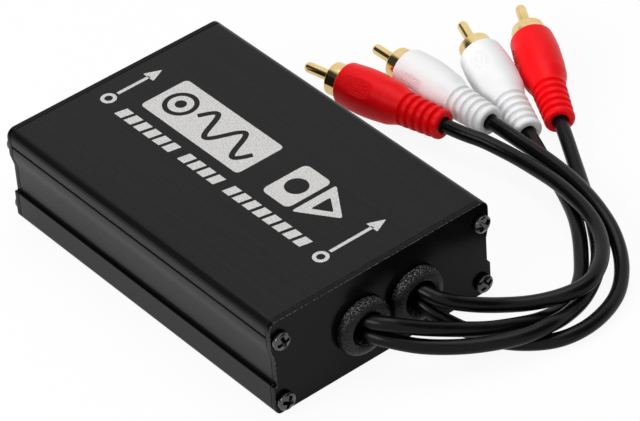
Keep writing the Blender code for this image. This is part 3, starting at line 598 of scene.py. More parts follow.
@dataclass(frozen=True)
class EtchedMarking(Finish):
    """Laser marking through the black dye: bare pale oxide with a fine burnt speckle."""

    dark: str = "#9e9d9b"
    light: str = "#e0dfdd"
    specular: float = 0.3
    smooth: float = 0.5
    rough: float = 0.7
    speck: float = 0.35 * MM
    contrast: Point = (0.34, 0.62)

    def patterns(self, tree: NodeTree, place: NodeSocket) -> tuple[NodeSocket, NodeSocket]:
        """Draw the speckle of the laser's spots.

        Args:
            tree: The material's tree.
            place: Object coordinates, in metres.

        Returns:
            The speckle, for colour and gloss and for the relief.
        """
        specks = add_node(tree, "ShaderNodeTexNoise", {
            "Vector": place, "Scale": 1 / self.speck, "Detail": 3.0,
            "Roughness": 0.65}).outputs["Fac"]
        return specks, specks


@dataclass(frozen=True)
class SpeckledSurface(Finish):
    """A moulded, turned or plated surface with a fine grain over slow cloudiness."""

    grain: float = 0.3 * MM
    cloud: float = 9.0 * MM
    grain_share: float = 0.45
    contrast: Point = (0.3, 0.7)

    def patterns(self, tree: NodeTree, place: NodeSocket) -> tuple[NodeSocket, NodeSocket]:
        """Draw cloudiness and grain.

        Args:
            tree: The material's tree.
            place: Object coordinates, in metres.

        Returns:
            Both together for colour and gloss, and the grain for the relief.
        """
        grain = add_node(tree, "ShaderNodeTexNoise", {
            "Vector": place, "Scale": 1 / self.grain, "Detail": 2.0}).outputs["Fac"]
        cloud = add_node(tree, "ShaderNodeTexNoise", {
            "Vector": place, "Scale": 1 / self.cloud, "Detail": 3.0}).outputs["Fac"]
        both = add_node(tree, "ShaderNodeMix", {0: self.grain_share, 2: cloud, 3: grain})
        return both.outputs[0], grain


@dataclass(frozen=True)
class RubberWithPaintedTopSparkle(SpeckledSurface):
    """Matt rubber with a painted sparkle of pale flecks on its upper side, standing in for highlights.
    """

    flecks: Flecks = Flecks("#868684", 0.42 * MM, 2.0, (0.52, 0.64))
    # How far the surface faces up where the painted sparkle starts and where it is full
    sparkle_slope: Point = (0.3, 0.95)

    def fleck_cover(self, tree: NodeTree, facing: Node) -> NodeSocket:
        """Paint the pale sparkle more thickly as the surface turns upwards.

        Args:
            tree: The material's tree.
            facing: Node that gives the X, Y and Z of the surface's own normal.

        Returns:
            0 on walls and undersides, up to 1 on level tops.
        """
        return add_node(tree, "ShaderNodeMapRange", {
            "Value": facing.outputs["Z"], "From Min": self.sparkle_slope[0],
            "From Max": self.sparkle_slope[1]}).outputs["Result"]


@dataclass(frozen=True)
class BandedSurface(Finish):
    """A surface built of thin layers: steel laminations or turns of tape."""

    dark: str = "#55575a"
    light: str = "#8f9194"
    rough: float = 0.5
    depth: float = 0.05 * MM
    strength: float = 0.5
    pitch: float = 0.5 * MM
    direction: str = "Y"
    waviness: float = 0.6
    grain: float = 0.4 * MM
    grain_share: float = 0.3

    def patterns(self, tree: NodeTree, place: NodeSocket) -> tuple[NodeSocket, NodeSocket]:
        """Draw layer lines across one axis, a little uneven, with a grain.

        Args:
            tree: The material's tree.
            place: Object coordinates, in metres.

        Returns:
            Both together for colour and gloss, and the lines for the relief.
        """
        # A wave texture repeats every 2 pi / 20 of its scale, so this makes the pitch true
        layers = add_node(tree, "ShaderNodeTexWave", {
            "Vector": place, "Scale": math.pi / 10 / self.pitch, "Distortion": self.waviness,
            "Detail Scale": 0.3}, bands_direction=self.direction).outputs["Fac"]
        grain = add_node(tree, "ShaderNodeTexNoise", {
            "Vector": place, "Scale": 1 / self.grain, "Detail": 2.0}).outputs["Fac"]
        both = add_node(tree, "ShaderNodeMix", {0: self.grain_share, 2: layers, 3: grain})
        return both.outputs[0], layers


@dataclass(frozen=True)
class SolderMask(Finish):
    """Green solder mask over copper tracks on glass laminate; the tracks show lighter."""

    dark: str = "#0f4526"
    light: str = "#1f6a3c"
    smooth: float = 0.25
    rough: float = 0.35
    depth: float = 0.035 * MM
    strength: float = 0.6
    cell: float = 5.0 * MM
    track_edge: Point = (0.5, 0.56)

    def patterns(self, tree: NodeTree, place: NodeSocket) -> tuple[NodeSocket, NodeSocket]:
        """Draw square-cornered tracks.

        Args:
            tree: The material's tree.
            place: Object coordinates, in metres.

        Returns:
            The tracks, for colour and gloss and for the relief.
        """
        cells = add_node(tree, "ShaderNodeTexVoronoi", {
            "Vector": place, "Scale": 1 / self.cell, "Randomness": 0.8},
            distance="MANHATTAN", feature="F1").outputs["Distance"]
        tracks = add_node(tree, "ShaderNodeMapRange", {
            "Value": cells, "From Min": self.track_edge[0],
            "From Max": self.track_edge[1]}).outputs["Result"]
        return tracks, tracks


# What finishes of one kind share
PLATE_DYE = {"dark": "#050506", "light": "#0c0c0d", "specular": 0.09, "smooth": 0.14,
             "rough": 0.22}
SATIN_MOULD = {"smooth": 0.32, "rough": 0.42, "grain": 0.35 * MM, "cloud": 12 * MM,
               "depth": 0.006 * MM, "strength": 0.25}
POLISHED_MOULD = {"smooth": 0.25, "rough": 0.35}


@dataclass(frozen=True)
class Finishes:
    """Every finish of the isolator, named for what it is."""

    anodised: Finish = AnodisedAluminium("black_anodised_aluminium", "black_anodised")
    # The near plate's rounded edges carry a painted highlight of pale flecks
    plate: Finish = PlateWithPaintedEdgeHighlight("black_anodised_plate", "black_anodised", **PLATE_DYE)
    # The far plate's edges have no painted highlight
    far_plate: Finish = AnodisedAluminium(
        "black_anodised_far_plate", "black_anodised", **PLATE_DYE)
    marking: Finish = EtchedMarking("laser_marked_oxide", "black_anodised")
    # Black passivated zinc on steel is smooth and mirrors the studio in a dark tone
    zinc: Finish = SpeckledSurface(
        "black_zinc_plated_steel", "black_zinc", dark="#08080a", light="#1c1c1e", specular=0.9,
        smooth=0.08, rough=0.16, grain=0.25 * MM)
    # Moulded rubber is black with a coarse grain, and pale flecks paint a sparkle of highlights on its
    # upper side
    rubber: Finish = RubberWithPaintedTopSparkle(
        "moulded_black_rubber", "black_rubber", dark="#000000", light="#262626", specular=0.13,
        smooth=0.1, rough=0.26, grain=0.45 * MM, cloud=0.9 * MM, depth=0.22 * MM, strength=0.9)
    # Soft PVC jacket, drawn smooth, with a satin line of light along it
    jacket: Finish = SpeckledSurface(
        "satin_pvc_jacket", "cable_jacket", dark="#050506", light="#0d0d0e", specular=0.14,
        smooth=0.2, rough=0.32, grain=0.4 * MM, cloud=14 * MM, depth=0.02 * MM)
    # Boots are soft PVC from a satin mould
    red_boot: Finish = SpeckledSurface(
        "moulded_red_pvc", "red_boot", dark="#ec0812", light="#ff1019", specular=0.12,
        **SATIN_MOULD)
    white_boot: Finish = SpeckledSurface(
        "moulded_white_pvc", "white_boot", dark="#eeeeef", light="#f5f5f6", specular=0.3,
        **SATIN_MOULD)
    # Gold flash over bright nickel on turned brass
    gold: Finish = SpeckledSurface(
        "gold_flashed_brass", "gold_plate", dark="#dcb86c", light="#f2dba6", metallic=1.0,
        smooth=0.07, rough=0.14, grain=0.3 * MM, cloud=6 * MM, depth=0.003 * MM, strength=0.1)
    red_plastic: Finish = SpeckledSurface(
        "moulded_red_abs", "red_insulator", dark="#b3161c", light="#c92026", **POLISHED_MOULD)
    white_plastic: Finish = SpeckledSurface(
        "moulded_white_abs", "white_insulator", dark="#dcdbd6", light="#ebeae6",
        **POLISHED_MOULD)
    block: Finish = SpeckledSurface(
        "moulded_black_abs", "socket_block", dark="#111112", light="#1d1d1e", smooth=0.4,
        rough=0.55)
    board: Finish = SolderMask("green_solder_mask", "board_laminate")
    # Silicon steel sheets, 0.5 mm each, show as fine lines round the core
    laminations: Finish = BandedSurface(
        "silicon_steel_laminations", "core_steel", metallic=0.9, pitch=0.5 * MM)
    nylon: Finish = SpeckledSurface(
        "natural_nylon", "bobbin_nylon", dark="#d8cfae", light="#e6dfc4", smooth=0.35, rough=0.5)
    # Polyester tape is laid on in turns 3 mm apart
    tape: Finish = BandedSurface(
        "yellow_polyester_tape", "winding_tape", dark="#c98d18", light="#e3ad34", smooth=0.18,
        rough=0.3, pitch=3.0 * MM, direction="Z")


@dataclass
class Workshop:
    """Makes finished pieces: each has a mesh, a finish, a body and what it replaces."""

    finishes: Finishes = Finishes()
    built: dict[str, Material] = field(default_factory=dict)

    def material(self, finish: Finish) -> Material:
        """Give the material of a finish, which is built once.

        Args:
            finish: The finish.

        Returns:
            Its material.
        """
        if finish.name not in self.built:
            self.built[finish.name] = finish.build()
        return self.built[finish.name]

    def piece(self, name: str, data: ID, finish: Finish,
              replaces: tuple[str, ...] = ()) -> Object:
        """Make a piece of the object.

        Args:
            name: Piece name.
            data: Its mesh or curve, already in place.
            finish: Its finish.
            replaces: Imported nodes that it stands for.

        Returns:
            The piece's object, at the origin.
        """
        data.materials.clear()
        data.materials.append(self.material(finish))
        item = linked(name, data)
        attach(item, "root")
        if replaces:
            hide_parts(*replaces)
        LOG.info("made %s in %s", name, finish.name)
        return item

    def dress(self, node: str, finish: Finish) -> None:
        """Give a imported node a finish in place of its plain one.

        Args:
            node: The node's name.
            finish: Its finish.
        """
        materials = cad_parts[node].data.materials
        materials.clear()
        materials.append(self.material(finish))
        LOG.info("dressed %s in %s", node, finish.name)


# Geometry Nodes trees

class Repeats:
    """Geometry Nodes trees that repeat a small shape, and the way they become plain meshes."""

    SEED = 7
    # Square of how far out dots lie, as a share of the whole length or width
    OVAL_REACH = 0.22
    # A dot strays both ways along the flat, but sinks more than it rises
    STRAY = {"Min": (-1.0, -1.0, -0.35), "Max": (1.0, 1.0, 0.1)}
    DOT = {"Segments": 8, "Rings": 5}
    DOT_SCALE = (1.0, 1.0, 0.6)

    @staticmethod
    def new_tree(name: str, sockets: dict[str, str]) -> tuple[NodeTree, Node]:
        """Start a tree with a geometry output and named inputs.

        Args:
            name: Tree name.
            sockets: Kind of each input's socket, such as Float, by name.

        Returns:
            The tree and its group input node.
        """
        tree = bpy.data.node_groups.new(name, "GeometryNodeTree")
        tree.interface.new_socket("Geometry", in_out="OUTPUT", socket_type="NodeSocketGeometry")
        for label, kind in sockets.items():
            tree.interface.new_socket(label, in_out="INPUT", socket_type="NodeSocket" + kind)
        return tree, add_node(tree, "NodeGroupInput")

    @staticmethod
    def close(tree: NodeTree, geometry: NodeSocket, material: NodeSocket) -> None:
        """End a tree in Set Material and its output.

        Args:
            tree: The tree.
            geometry: Its realized geometry.
            material: The finish that it gets.
        """
        dressed = add_node(tree, "GeometryNodeSetMaterial", {
            "Geometry": geometry, "Material": material})
        add_node(tree, "NodeGroupOutput", {0: dressed.outputs["Geometry"]})

    @staticmethod
    def run(tree: NodeTree, start: Mesh, values: dict[str, object], name: str) -> Mesh:
        """Evaluate a tree on a mesh.

        Args:
            tree: Geometry Nodes tree.
            start: Mesh that the tree gets.
            values: Input values, by socket name.
            name: Name of the result.

        Returns:
            The result as a plain mesh.
        """
        item = linked(name, start)
        modifier = item.modifiers.new(tree.name, "NODES")
        modifier.node_group = tree
        for entry in tree.interface.items_tree:
            if entry.in_out == "INPUT" and entry.name in values:
                modifier[entry.identifier] = values[entry.name]
        return baked(item, name)

    @classmethod
    def on_places(cls, name: str, shape: Mesh, places: list[Matrix],
                  material: Material) -> Mesh:
        """Repeat a mesh at several places.

        Args:
            name: Name of the result.
            shape: Mesh to repeat.
            places: Place and turn of each copy.
            material: Finish of the copies.

        Returns:
            One mesh of all the copies.
        """
        tree, given = cls.new_tree("repeat_on_places", {
            "Places": "Geometry", "Shape": "Object", "Finish": "Material"})
        info = add_node(tree, "GeometryNodeObjectInfo", {"Object": given.outputs["Shape"]})
        turn = add_node(tree, "GeometryNodeInputNamedAttribute", {"Name": "turn"},
                        data_type="FLOAT_VECTOR")
        copies = add_node(tree, "GeometryNodeInstanceOnPoints", {
            "Points": given.outputs["Places"], "Instance": info.outputs["Geometry"],
            "Rotation": turn.outputs["Attribute"]})
        real = add_node(tree, "GeometryNodeRealizeInstances", {
            "Geometry": copies.outputs["Instances"]})
        cls.close(tree, real.outputs["Geometry"], given.outputs["Finish"])

        points = bpy.data.meshes.new(name + "_places")
        points.from_pydata([tuple(place.translation) for place in places], [], [])
        turns = points.attributes.new("turn", "FLOAT_VECTOR", "POINT")
        for index, place in enumerate(places):
            turns.data[index].vector = tuple(place.to_euler())
        original = linked(name + "_shape", shape)
        result = cls.run(tree, points, {"Shape": original, "Finish": material}, name)
        bpy.data.objects.remove(original, do_unlink=True)
        return result

    @classmethod
    def grip_dots(cls, name: str, length: float, width: float, pitch: float, radius: float,
                  unevenness: float, material: Material) -> Mesh:
        """Fill an oval in the XY plane with low domes.

        Args:
            name: Name of the result.
            length: Length of the oval, along X.
            width: Width of the oval, along Y.
            pitch: Distance between dots.
            radius: Radius of a dot.
            unevenness: How far a dot may stray from its place.
            material: Finish of the dots.

        Returns:
            One mesh of all the dots.
        """
        tree, given = cls.new_tree("grip_dots", {
            "Geometry": "Geometry", "Length": "Float", "Width": "Float", "Columns": "Int",
            "Rows": "Int", "Radius": "Float", "Reach": "Float", "Unevenness": "Float",
            "Seed": "Int", "Finish": "Material"})
        field_grid = add_node(tree, "GeometryNodeMeshGrid", {
            "Size X": given.outputs["Length"], "Size Y": given.outputs["Width"],
            "Vertices X": given.outputs["Columns"], "Vertices Y": given.outputs["Rows"]})
        where = add_node(tree, "ShaderNodeSeparateXYZ", {
            0: add_node(tree, "GeometryNodeInputPosition").outputs["Position"]})
        squares = []
        for axis, size in (("X", "Length"), ("Y", "Width")):
            share = add_node(tree, "ShaderNodeMath", {
                0: where.outputs[axis], 1: given.outputs[size]}, operation="DIVIDE").outputs[0]
            squares.append(add_node(tree, "ShaderNodeMath", {0: share, 1: share},
                                    operation="MULTIPLY").outputs[0])
        spread = add_node(tree, "ShaderNodeMath", {0: squares[0], 1: squares[1]},
                          operation="ADD")
        outside = add_node(tree, "ShaderNodeMath", {
            0: spread.outputs[0], 1: given.outputs["Reach"]}, operation="GREATER_THAN")
        oval = add_node(tree, "GeometryNodeDeleteGeometry", {
            "Geometry": field_grid.outputs["Mesh"], "Selection": outside.outputs[0]},
            domain="POINT")
        stray = add_node(tree, "FunctionNodeRandomValue", {
            **cls.STRAY, "Seed": given.outputs["Seed"]}, data_type="FLOAT_VECTOR")
        away = add_node(tree, "ShaderNodeVectorMath", {
            0: stray.outputs["Value"], "Scale": given.outputs["Unevenness"]}, operation="SCALE")
        uneven = add_node(tree, "GeometryNodeSetPosition", {
            "Geometry": oval.outputs["Geometry"], "Offset": away.outputs["Vector"]})
        dot = add_node(tree, "GeometryNodeMeshUVSphere", {
            **cls.DOT, "Radius": given.outputs["Radius"]})
        dots = add_node(tree, "GeometryNodeInstanceOnPoints", {
            "Points": uneven.outputs["Geometry"], "Instance": dot.outputs["Mesh"],
            "Scale": cls.DOT_SCALE})
        real = add_node(tree, "GeometryNodeRealizeInstances", {
            "Geometry": dots.outputs["Instances"]})
        soft = add_node(tree, "GeometryNodeSetShadeSmooth", {
            "Geometry": real.outputs["Geometry"]})
        cls.close(tree, soft.outputs["Geometry"], given.outputs["Finish"])
        return cls.run(tree, bpy.data.meshes.new(name), {
            "Length": length, "Width": width, "Columns": round(length / pitch) + 1,
            "Rows": round(width / pitch) + 1, "Radius": radius, "Reach": cls.OVAL_REACH,
            "Unevenness": unevenness, "Seed": cls.SEED, "Finish": material}, name)

    @classmethod
    def slanted_blocks(cls, name: str, count: int, pitch: float, size: Vector, slant: float,
                       material: Material) -> Mesh:
        """Lay a row of leaning flat blocks along X.

        Args:
            name: Name of the result.
            count: Number of blocks.
            pitch: Distance between them.
            size: Width, height and thickness of a block.
            slant: How far a block leans for each unit of height.
            material: Finish of the blocks.

        Returns:
            One mesh of all the blocks.
        """
        tree, given = cls.new_tree("slanted_blocks", {
            "Geometry": "Geometry", "Count": "Int", "Pitch": "Float", "Size": "Vector",
            "Slant": "Float", "Finish": "Material"})
        step = add_node(tree, "ShaderNodeCombineXYZ", {"X": given.outputs["Pitch"]})
        row = add_node(tree, "GeometryNodeMeshLine", {
            "Count": given.outputs["Count"], "Offset": step.outputs["Vector"]})
        block = add_node(tree, "GeometryNodeMeshCube", {"Size": given.outputs["Size"]})
        blocks = add_node(tree, "GeometryNodeInstanceOnPoints", {
            "Points": row.outputs["Mesh"], "Instance": block.outputs["Mesh"]})
        real = add_node(tree, "GeometryNodeRealizeInstances", {
            "Geometry": blocks.outputs["Instances"]})
        where = add_node(tree, "ShaderNodeSeparateXYZ", {
            0: add_node(tree, "GeometryNodeInputPosition").outputs["Position"]})
        lean = add_node(tree, "ShaderNodeMath", {
            0: where.outputs["Y"], 1: given.outputs["Slant"]}, operation="MULTIPLY")
        offset = add_node(tree, "ShaderNodeCombineXYZ", {"X": lean.outputs[0]})
        leaning = add_node(tree, "GeometryNodeSetPosition", {
            "Geometry": real.outputs["Geometry"], "Offset": offset.outputs["Vector"]})
        cls.close(tree, leaning.outputs["Geometry"], given.outputs["Finish"])
        return cls.run(tree, bpy.data.meshes.new(name), {
            "Count": count, "Pitch": pitch, "Size": tuple(size), "Slant": slant,
            "Finish": material}, name)


# Studio

@dataclass(frozen=True)
class Softbox:
    """A rectangular studio light: where it is, what it looks at, its size and its power."""

    name: str
    place: Spot
    width: float
    height: float
    watts: float
    aim: Spot = (0.01, -0.02, 0.02)

    def build(self) -> None:
        """Hang the light."""
        data = bpy.data.lights.new(self.name, "AREA")
        data.shape = "RECTANGLE"
        data.size = self.width
        data.size_y = self.height
        data.energy = self.watts
        item = linked(self.name, data)
        item.location = self.place
        look = Vector(self.aim) - Vector(self.place)
        item.rotation_euler = look.to_track_quat("-Z", "Y").to_euler()


@dataclass(frozen=True)
class Studio:
    """The camera of the photograph, a pale floor, soft lights and a white surround."""

    aim: Spot = (0.0083, -0.0217, 0.0224)
    distance: float = 1.0
    azimuth: float = 36.86
    elevation: float = 38.57
    roll: float = 4.44
    lens: float = 211.89
    sensor: float = 36.0
    view_limit: float = 20.0
    floor_size: float = 4.0
    floor_drop: float = 0.3 * MM
    paper_fibre: float = 1.2 * MM
    paper_tones: tuple[str, str] = ("#f2f2f2", "#f7f7f7")
    ambient: float = 0.38
    # Where the light tent is open, how wide in degrees to its dark part and to its full light
    openings: tuple[Spot, ...] = ((-0.62, 0.63, 0.47), (0.5, -0.65, 0.57))
    opening_dark: float = 20.0
    opening_reach: float = 38.0
    opening_light: float = 0.05
    camera_share: float = 0.92
    mirror_share: float = 0.5
    softboxes: tuple[Softbox, ...] = (
        Softbox("side_softbox", (-1.1, 0.05, 0.7), 0.8, 0.6, 10.4),
        Softbox("top_softbox", (0.2, 0.2, 1.3), 1.0, 1.0, 7.6),
    )

    def build_camera(self) -> None:
        """Place the camera at the photograph's angle."""
        azimuth, elevation = math.radians(self.azimuth), math.radians(self.elevation)
        forward = Vector((math.sin(azimuth) * math.cos(elevation),
                          math.cos(azimuth) * math.cos(elevation), -math.sin(elevation)))
        level = Vector((math.cos(azimuth), -math.sin(azimuth), 0.0))
        above = level.cross(forward)
        turn = math.radians(self.roll)
        right = level * math.cos(turn) - above * math.sin(turn)
        up = above * math.cos(turn) + level * math.sin(turn)
        data = bpy.data.cameras.new("portrait_camera")
        data.lens = self.lens
        data.sensor_width = self.sensor
        data.clip_end = self.view_limit
        camera = linked("portrait_camera", data)
        basis = Matrix((right, up, -forward)).transposed().to_4x4()
        camera.matrix_world = Matrix.Translation(Vector(self.aim) - forward * self.distance) @ basis
        bpy.context.scene.camera = camera
        LOG.info("camera placed %.2f m away", self.distance)

    @staticmethod
    def seen_white(tree: NodeTree, camera_share: float = 1.0,
                   mirror_share: float = 1.0) -> NodeSocket:
        """A factor for rays that look at the surround, and 0 for those that gather its light.

        Args:
            tree: The surround's tree.
            camera_share: Factor for the camera's own rays.
            mirror_share: Factor for rays that gloss or glass sends on.

        Returns:
            The factor's socket.
        """
        path = add_node(tree, "ShaderNodeLightPath")
        mirrored_rays = add_node(tree, "ShaderNodeMath", {
            0: path.outputs["Is Glossy Ray"], 1: path.outputs["Is Transmission Ray"]},
            operation="MAXIMUM")
        mirror = add_node(tree, "ShaderNodeMath", {0: mirrored_rays.outputs[0], 1: mirror_share},
                          operation="MULTIPLY")
        direct = add_node(tree, "ShaderNodeMath", {
            0: path.outputs["Is Camera Ray"], 1: camera_share}, operation="MULTIPLY")
        return add_node(tree, "ShaderNodeMath", {
            0: mirror.outputs[0], 1: direct.outputs[0]}, operation="MAXIMUM").outputs[0]

    def build_floor(self) -> None:
        """Lay the pale paper that the isolator stands on; it keeps a light shadow."""
        half = self.floor_size / 2
        mesh = bpy.data.meshes.new("paper_floor")
        corners = box_outline((-half, -half), (half, half))
        mesh.from_pydata([(x, y, -self.floor_drop) for x, y in corners], [], [(0, 1, 2, 3)])
        material = bpy.data.materials.new("white_paper_sweep")
        tree = bare_tree(material)
        fibre = add_node(tree, "ShaderNodeTexNoise", {
            "Vector": add_node(tree, "ShaderNodeTexCoord").outputs["Object"],
            "Scale": 1 / self.paper_fibre, "Detail": 3.0})
        dim, pale = (srgb(tone) for tone in self.paper_tones)
        tone = add_node(tree, "ShaderNodeMix", {0: fibre.outputs["Fac"], 6: dim, 7: pale},
                        data_type="RGBA")
        paper = add_node(tree, "ShaderNodeBsdfDiffuse", {"Color": tone.outputs[2]})
        bright = add_node(tree, "ShaderNodeEmission", {"Color": srgb("#ffffff"), "Strength": 1.0})
        share = self.seen_white(tree, self.camera_share, self.mirror_share)
        mixed = add_node(tree, "ShaderNodeMixShader", {
            0: share, 1: paper.outputs["BSDF"], 2: bright.outputs["Emission"]})
        add_node(tree, "ShaderNodeOutputMaterial", {"Surface": mixed.outputs["Shader"]})
        mesh.materials.append(material)
        floor = linked("paper_floor", mesh)

    def build_world(self) -> None:
        """Surround the studio with white, dim for the light that it casts."""
        world = bpy.data.worlds.new("white_surround")
        bpy.context.scene.world = world
        tree = bare_tree(world)
        dim = add_node(tree, "ShaderNodeBackground", {
            "Color": srgb("#ffffff"), "Strength": self.ambient})
        # Gloss shows the white surround with the darker openings of a light tent
        heading = add_node(tree, "ShaderNodeTexCoord").outputs["Generated"]
        tent = 1.0
        for opening in self.openings:
            nearness = add_node(tree, "ShaderNodeVectorMath", {0: heading, 1: opening},
                                operation="DOT_PRODUCT").outputs["Value"]
            gap = add_node(tree, "ShaderNodeMapRange", {
                "Value": nearness, "From Min": math.cos(math.radians(self.opening_reach)),
                "From Max": math.cos(math.radians(self.opening_dark)), "To Min": 1.0,
                "To Max": self.opening_light}, interpolation_type="SMOOTHSTEP")
            tent = add_node(tree, "ShaderNodeMath", {0: tent, 1: gap.outputs["Result"]},
                            operation="MULTIPLY").outputs[0]
        glossy = add_node(tree, "ShaderNodeLightPath").outputs["Is Glossy Ray"]
        level = add_node(tree, "ShaderNodeMix", {0: glossy, 2: 1.0, 3: tent}).outputs[0]
        white = add_node(tree, "ShaderNodeBackground", {
            "Color": srgb("#ffffff"), "Strength": level})
        mixed = add_node(tree, "ShaderNodeMixShader", {
            0: self.seen_white(tree), 1: dim.outputs["Background"],
            2: white.outputs["Background"]})
        add_node(tree, "ShaderNodeOutputWorld", {"Surface": mixed.outputs["Shader"]})

    def build_lights(self) -> None:
        """Hang the softboxes and keep the plain view transform."""
        for softbox in self.softboxes:
            softbox.build()
        bpy.context.scene.view_settings.view_transform = "Standard"


# Plugs and leads

@dataclass(frozen=True)
class PlugPlace:
    """How a plug lies: its tail (mm), then heading, tilt and roll (degrees), and its channel."""

    tail: Spot
    heading: float
    tilt: float
    roll: float
    channel: Channel

    @property
    def direction(self) -> Vector:
        """The way the plug points.

        Returns:
            Unit vector from the tail to the pin.
        """
        across = math.cos(math.radians(self.tilt))
        heading = math.radians(self.heading)
        return Vector((across * math.cos(heading), across * math.sin(heading),
                       math.sin(math.radians(self.tilt))))

    @property
    def matrix(self) -> Matrix:
        """The plug's place: its own Z runs from tail to pin."""
        turn = self.direction.to_track_quat("Z", "Y").to_matrix().to_4x4()
        return Matrix.Translation(Vector(self.tail) * MM) @ turn @ rotation(self.roll, "Z")


@dataclass(frozen=True)
class LeadRoute:
    """A lead's way out of the case and over the table (mm), and its length (m)."""

    hand: Hand
    level: Level
    length: float
    points: tuple[Spot, ...]


PLUG_PLACES = {
    1: PlugPlace((68.8, -1.6, 7.5), 100.6, -1.0, 45.0, Channel.RED),
    2: PlugPlace((79.1, -9.5, 7.5), 89.8, -1.0, 20.0, Channel.WHITE),
    3: PlugPlace((85.6, -17.8, 4.7), 70.4, 5.3, 60.0, Channel.WHITE),
    4: PlugPlace((95.6, -20.2, 4.7), 61.0, 5.3, 0.0, Channel.RED),
}

LEAD_ROUTES = {
    1: LeadRoute(Hand.RIGHT, Level.UPPER, 0.1509, (
        (13.4, -64.8, 14.7), (19.7, -68.8, 11.9), (27.2, -72.1, 9.3), (34.4, -76.2, 8.4),
        (41.4, -80.1, 9.1), (48.8, -81.3, 9.4), (55.9, -78.5, 9.2), (62.5, -72.9, 8.7),
        (67.4, -66.0, 8.4), (70.5, -58.3, 8.5), (72.3, -50.2, 8.4), (73.6, -41.9, 7.9),
        (74.2, -33.7, 7.1), (74.2, -26.2, 6.7), (73.4, -19.7, 6.8), (72.0, -14.0, 7.3))),
    2: LeadRoute(Hand.RIGHT, Level.LOWER, 0.1573, (
        (12.4, -64.8, 9.2), (17.1, -70.9, 5.4), (22.7, -77.1, 2.6), (28.4, -82.9, 2.2),
        (34.7, -86.7, 2.2), (42.1, -88.0, 2.3), (49.9, -86.9, 2.3), (57.4, -83.8, 2.2),
        (63.8, -78.9, 2.4), (69.0, -72.8, 3.4), (72.7, -65.9, 5.1), (75.1, -58.2, 6.6),
        (77.1, -50.1, 7.1), (78.5, -42.0, 7.2), (79.1, -34.3, 7.3), (79.2, -27.7, 7.4),
        (79.2, -21.9, 7.4))),
    3: LeadRoute(Hand.LEFT, Level.UPPER, 0.1481, (
        (-3.9, -64.2, 16.1), (2.7, -68.6, 13.7), (10.8, -72.3, 10.8), (18.7, -75.8, 8.4),
        (26.4, -78.2, 6.6), (34.1, -78.9, 4.3), (41.9, -78.2, 2.5), (49.2, -75.9, 2.2),
        (55.6, -71.7, 2.2), (61.1, -66.0, 2.7), (66.3, -59.6, 3.5), (71.0, -52.7, 3.3),
        (75.0, -45.6, 2.5), (78.3, -38.4, 2.2), (80.8, -31.2, 2.7))),
    4: LeadRoute(Hand.LEFT, Level.LOWER, 0.1575, (
        (-4.3, -64.9, 11.1), (1.4, -70.7, 9.5), (9.1, -76.0, 8.1), (17.2, -80.6, 7.5),
        (25.1, -83.7, 7.2), (32.8, -84.6, 6.8), (40.3, -83.2, 5.1), (48.1, -80.9, 4.5),
        (55.7, -76.9, 4.5), (62.4, -71.3, 3.9), (67.9, -65.1, 2.5), (72.2, -59.3, 2.2),
        (76.3, -53.3, 2.2), (80.4, -46.8, 2.2), (84.5, -39.9, 2.4), (88.5, -32.9, 3.1))),
}


@dataclass(frozen=True)
class Leads:
    """Four round leads, from inside the case through the grommets into the plugs."""

    radius: float = 2.1 * MM
    spacing: float = 4.6 * MM
    offset_in_grommet: float = 0.3 * MM
    inner_end_y: float = -48.0 * MM
    leave_y: float = -58.6 * MM
    straight_at_plug: float = 6.7 * MM
    depth_in_plug: float = 1.7 * MM
    arc_steps: int = 8
    path_steps: int = 12

    def route(self, number: int) -> list[Vector]:
        """All of a lead's route points.

        Args:
            number: The lead's number.

        Returns:
            Points from inside the case to inside the plug.
        """
        lead = LEAD_ROUTES[number]
        grommet = middle(f"grommet_{lead.hand.name.lower()}")
        x = grommet.x + self.offset_in_grommet
        z = grommet.z + lead.level.value * self.spacing
        start = Vector((x, self.inner_end_y, z))
        leave = Vector((x, self.leave_y, z))
        plug = PLUG_PLACES[number]
        tail = Vector(plug.tail) * MM
        return ([start, (start + leave) / 2, leave]
                + [Vector(point) * MM for point in lead.points]
                + [tail - plug.direction * self.straight_at_plug,
                   tail + plug.direction * self.depth_in_plug])

    def build(self, workshop: Workshop) -> dict[int, Object]:
        """Draw the leads.

        Args:
            workshop: Makes the pieces.

        Returns:
            Each lead's curve object, by number.
        """
        leads = {}
        for number in LEAD_ROUTES:
            points = self.route(number)
            curve = bpy.data.curves.new(f"lead_{number}", "CURVE")
            curve.dimensions = "3D"
            curve.bevel_depth = self.radius
            curve.bevel_resolution = self.arc_steps
            curve.resolution_u = self.path_steps
            curve.use_fill_caps = True
            spline = curve.splines.new("BEZIER")
            spline.bezier_points.add(len(points) - 1)
            for index, (knot, point) in enumerate(zip(spline.bezier_points, points)):
                # A sixth of the way between its neighbours gives an even curve
                reach = (points[min(index + 1, len(points) - 1)] - points[max(index - 1, 0)]) / 6
                knot.handle_left_type = knot.handle_right_type = "FREE"
                knot.co = point
                knot.handle_left = point - reach
                knot.handle_right = point + reach
            leads[number] = workshop.piece(
                f"lead_{number}", curve, workshop.finishes.jacket, (f"cable_{number}",))
        return leads


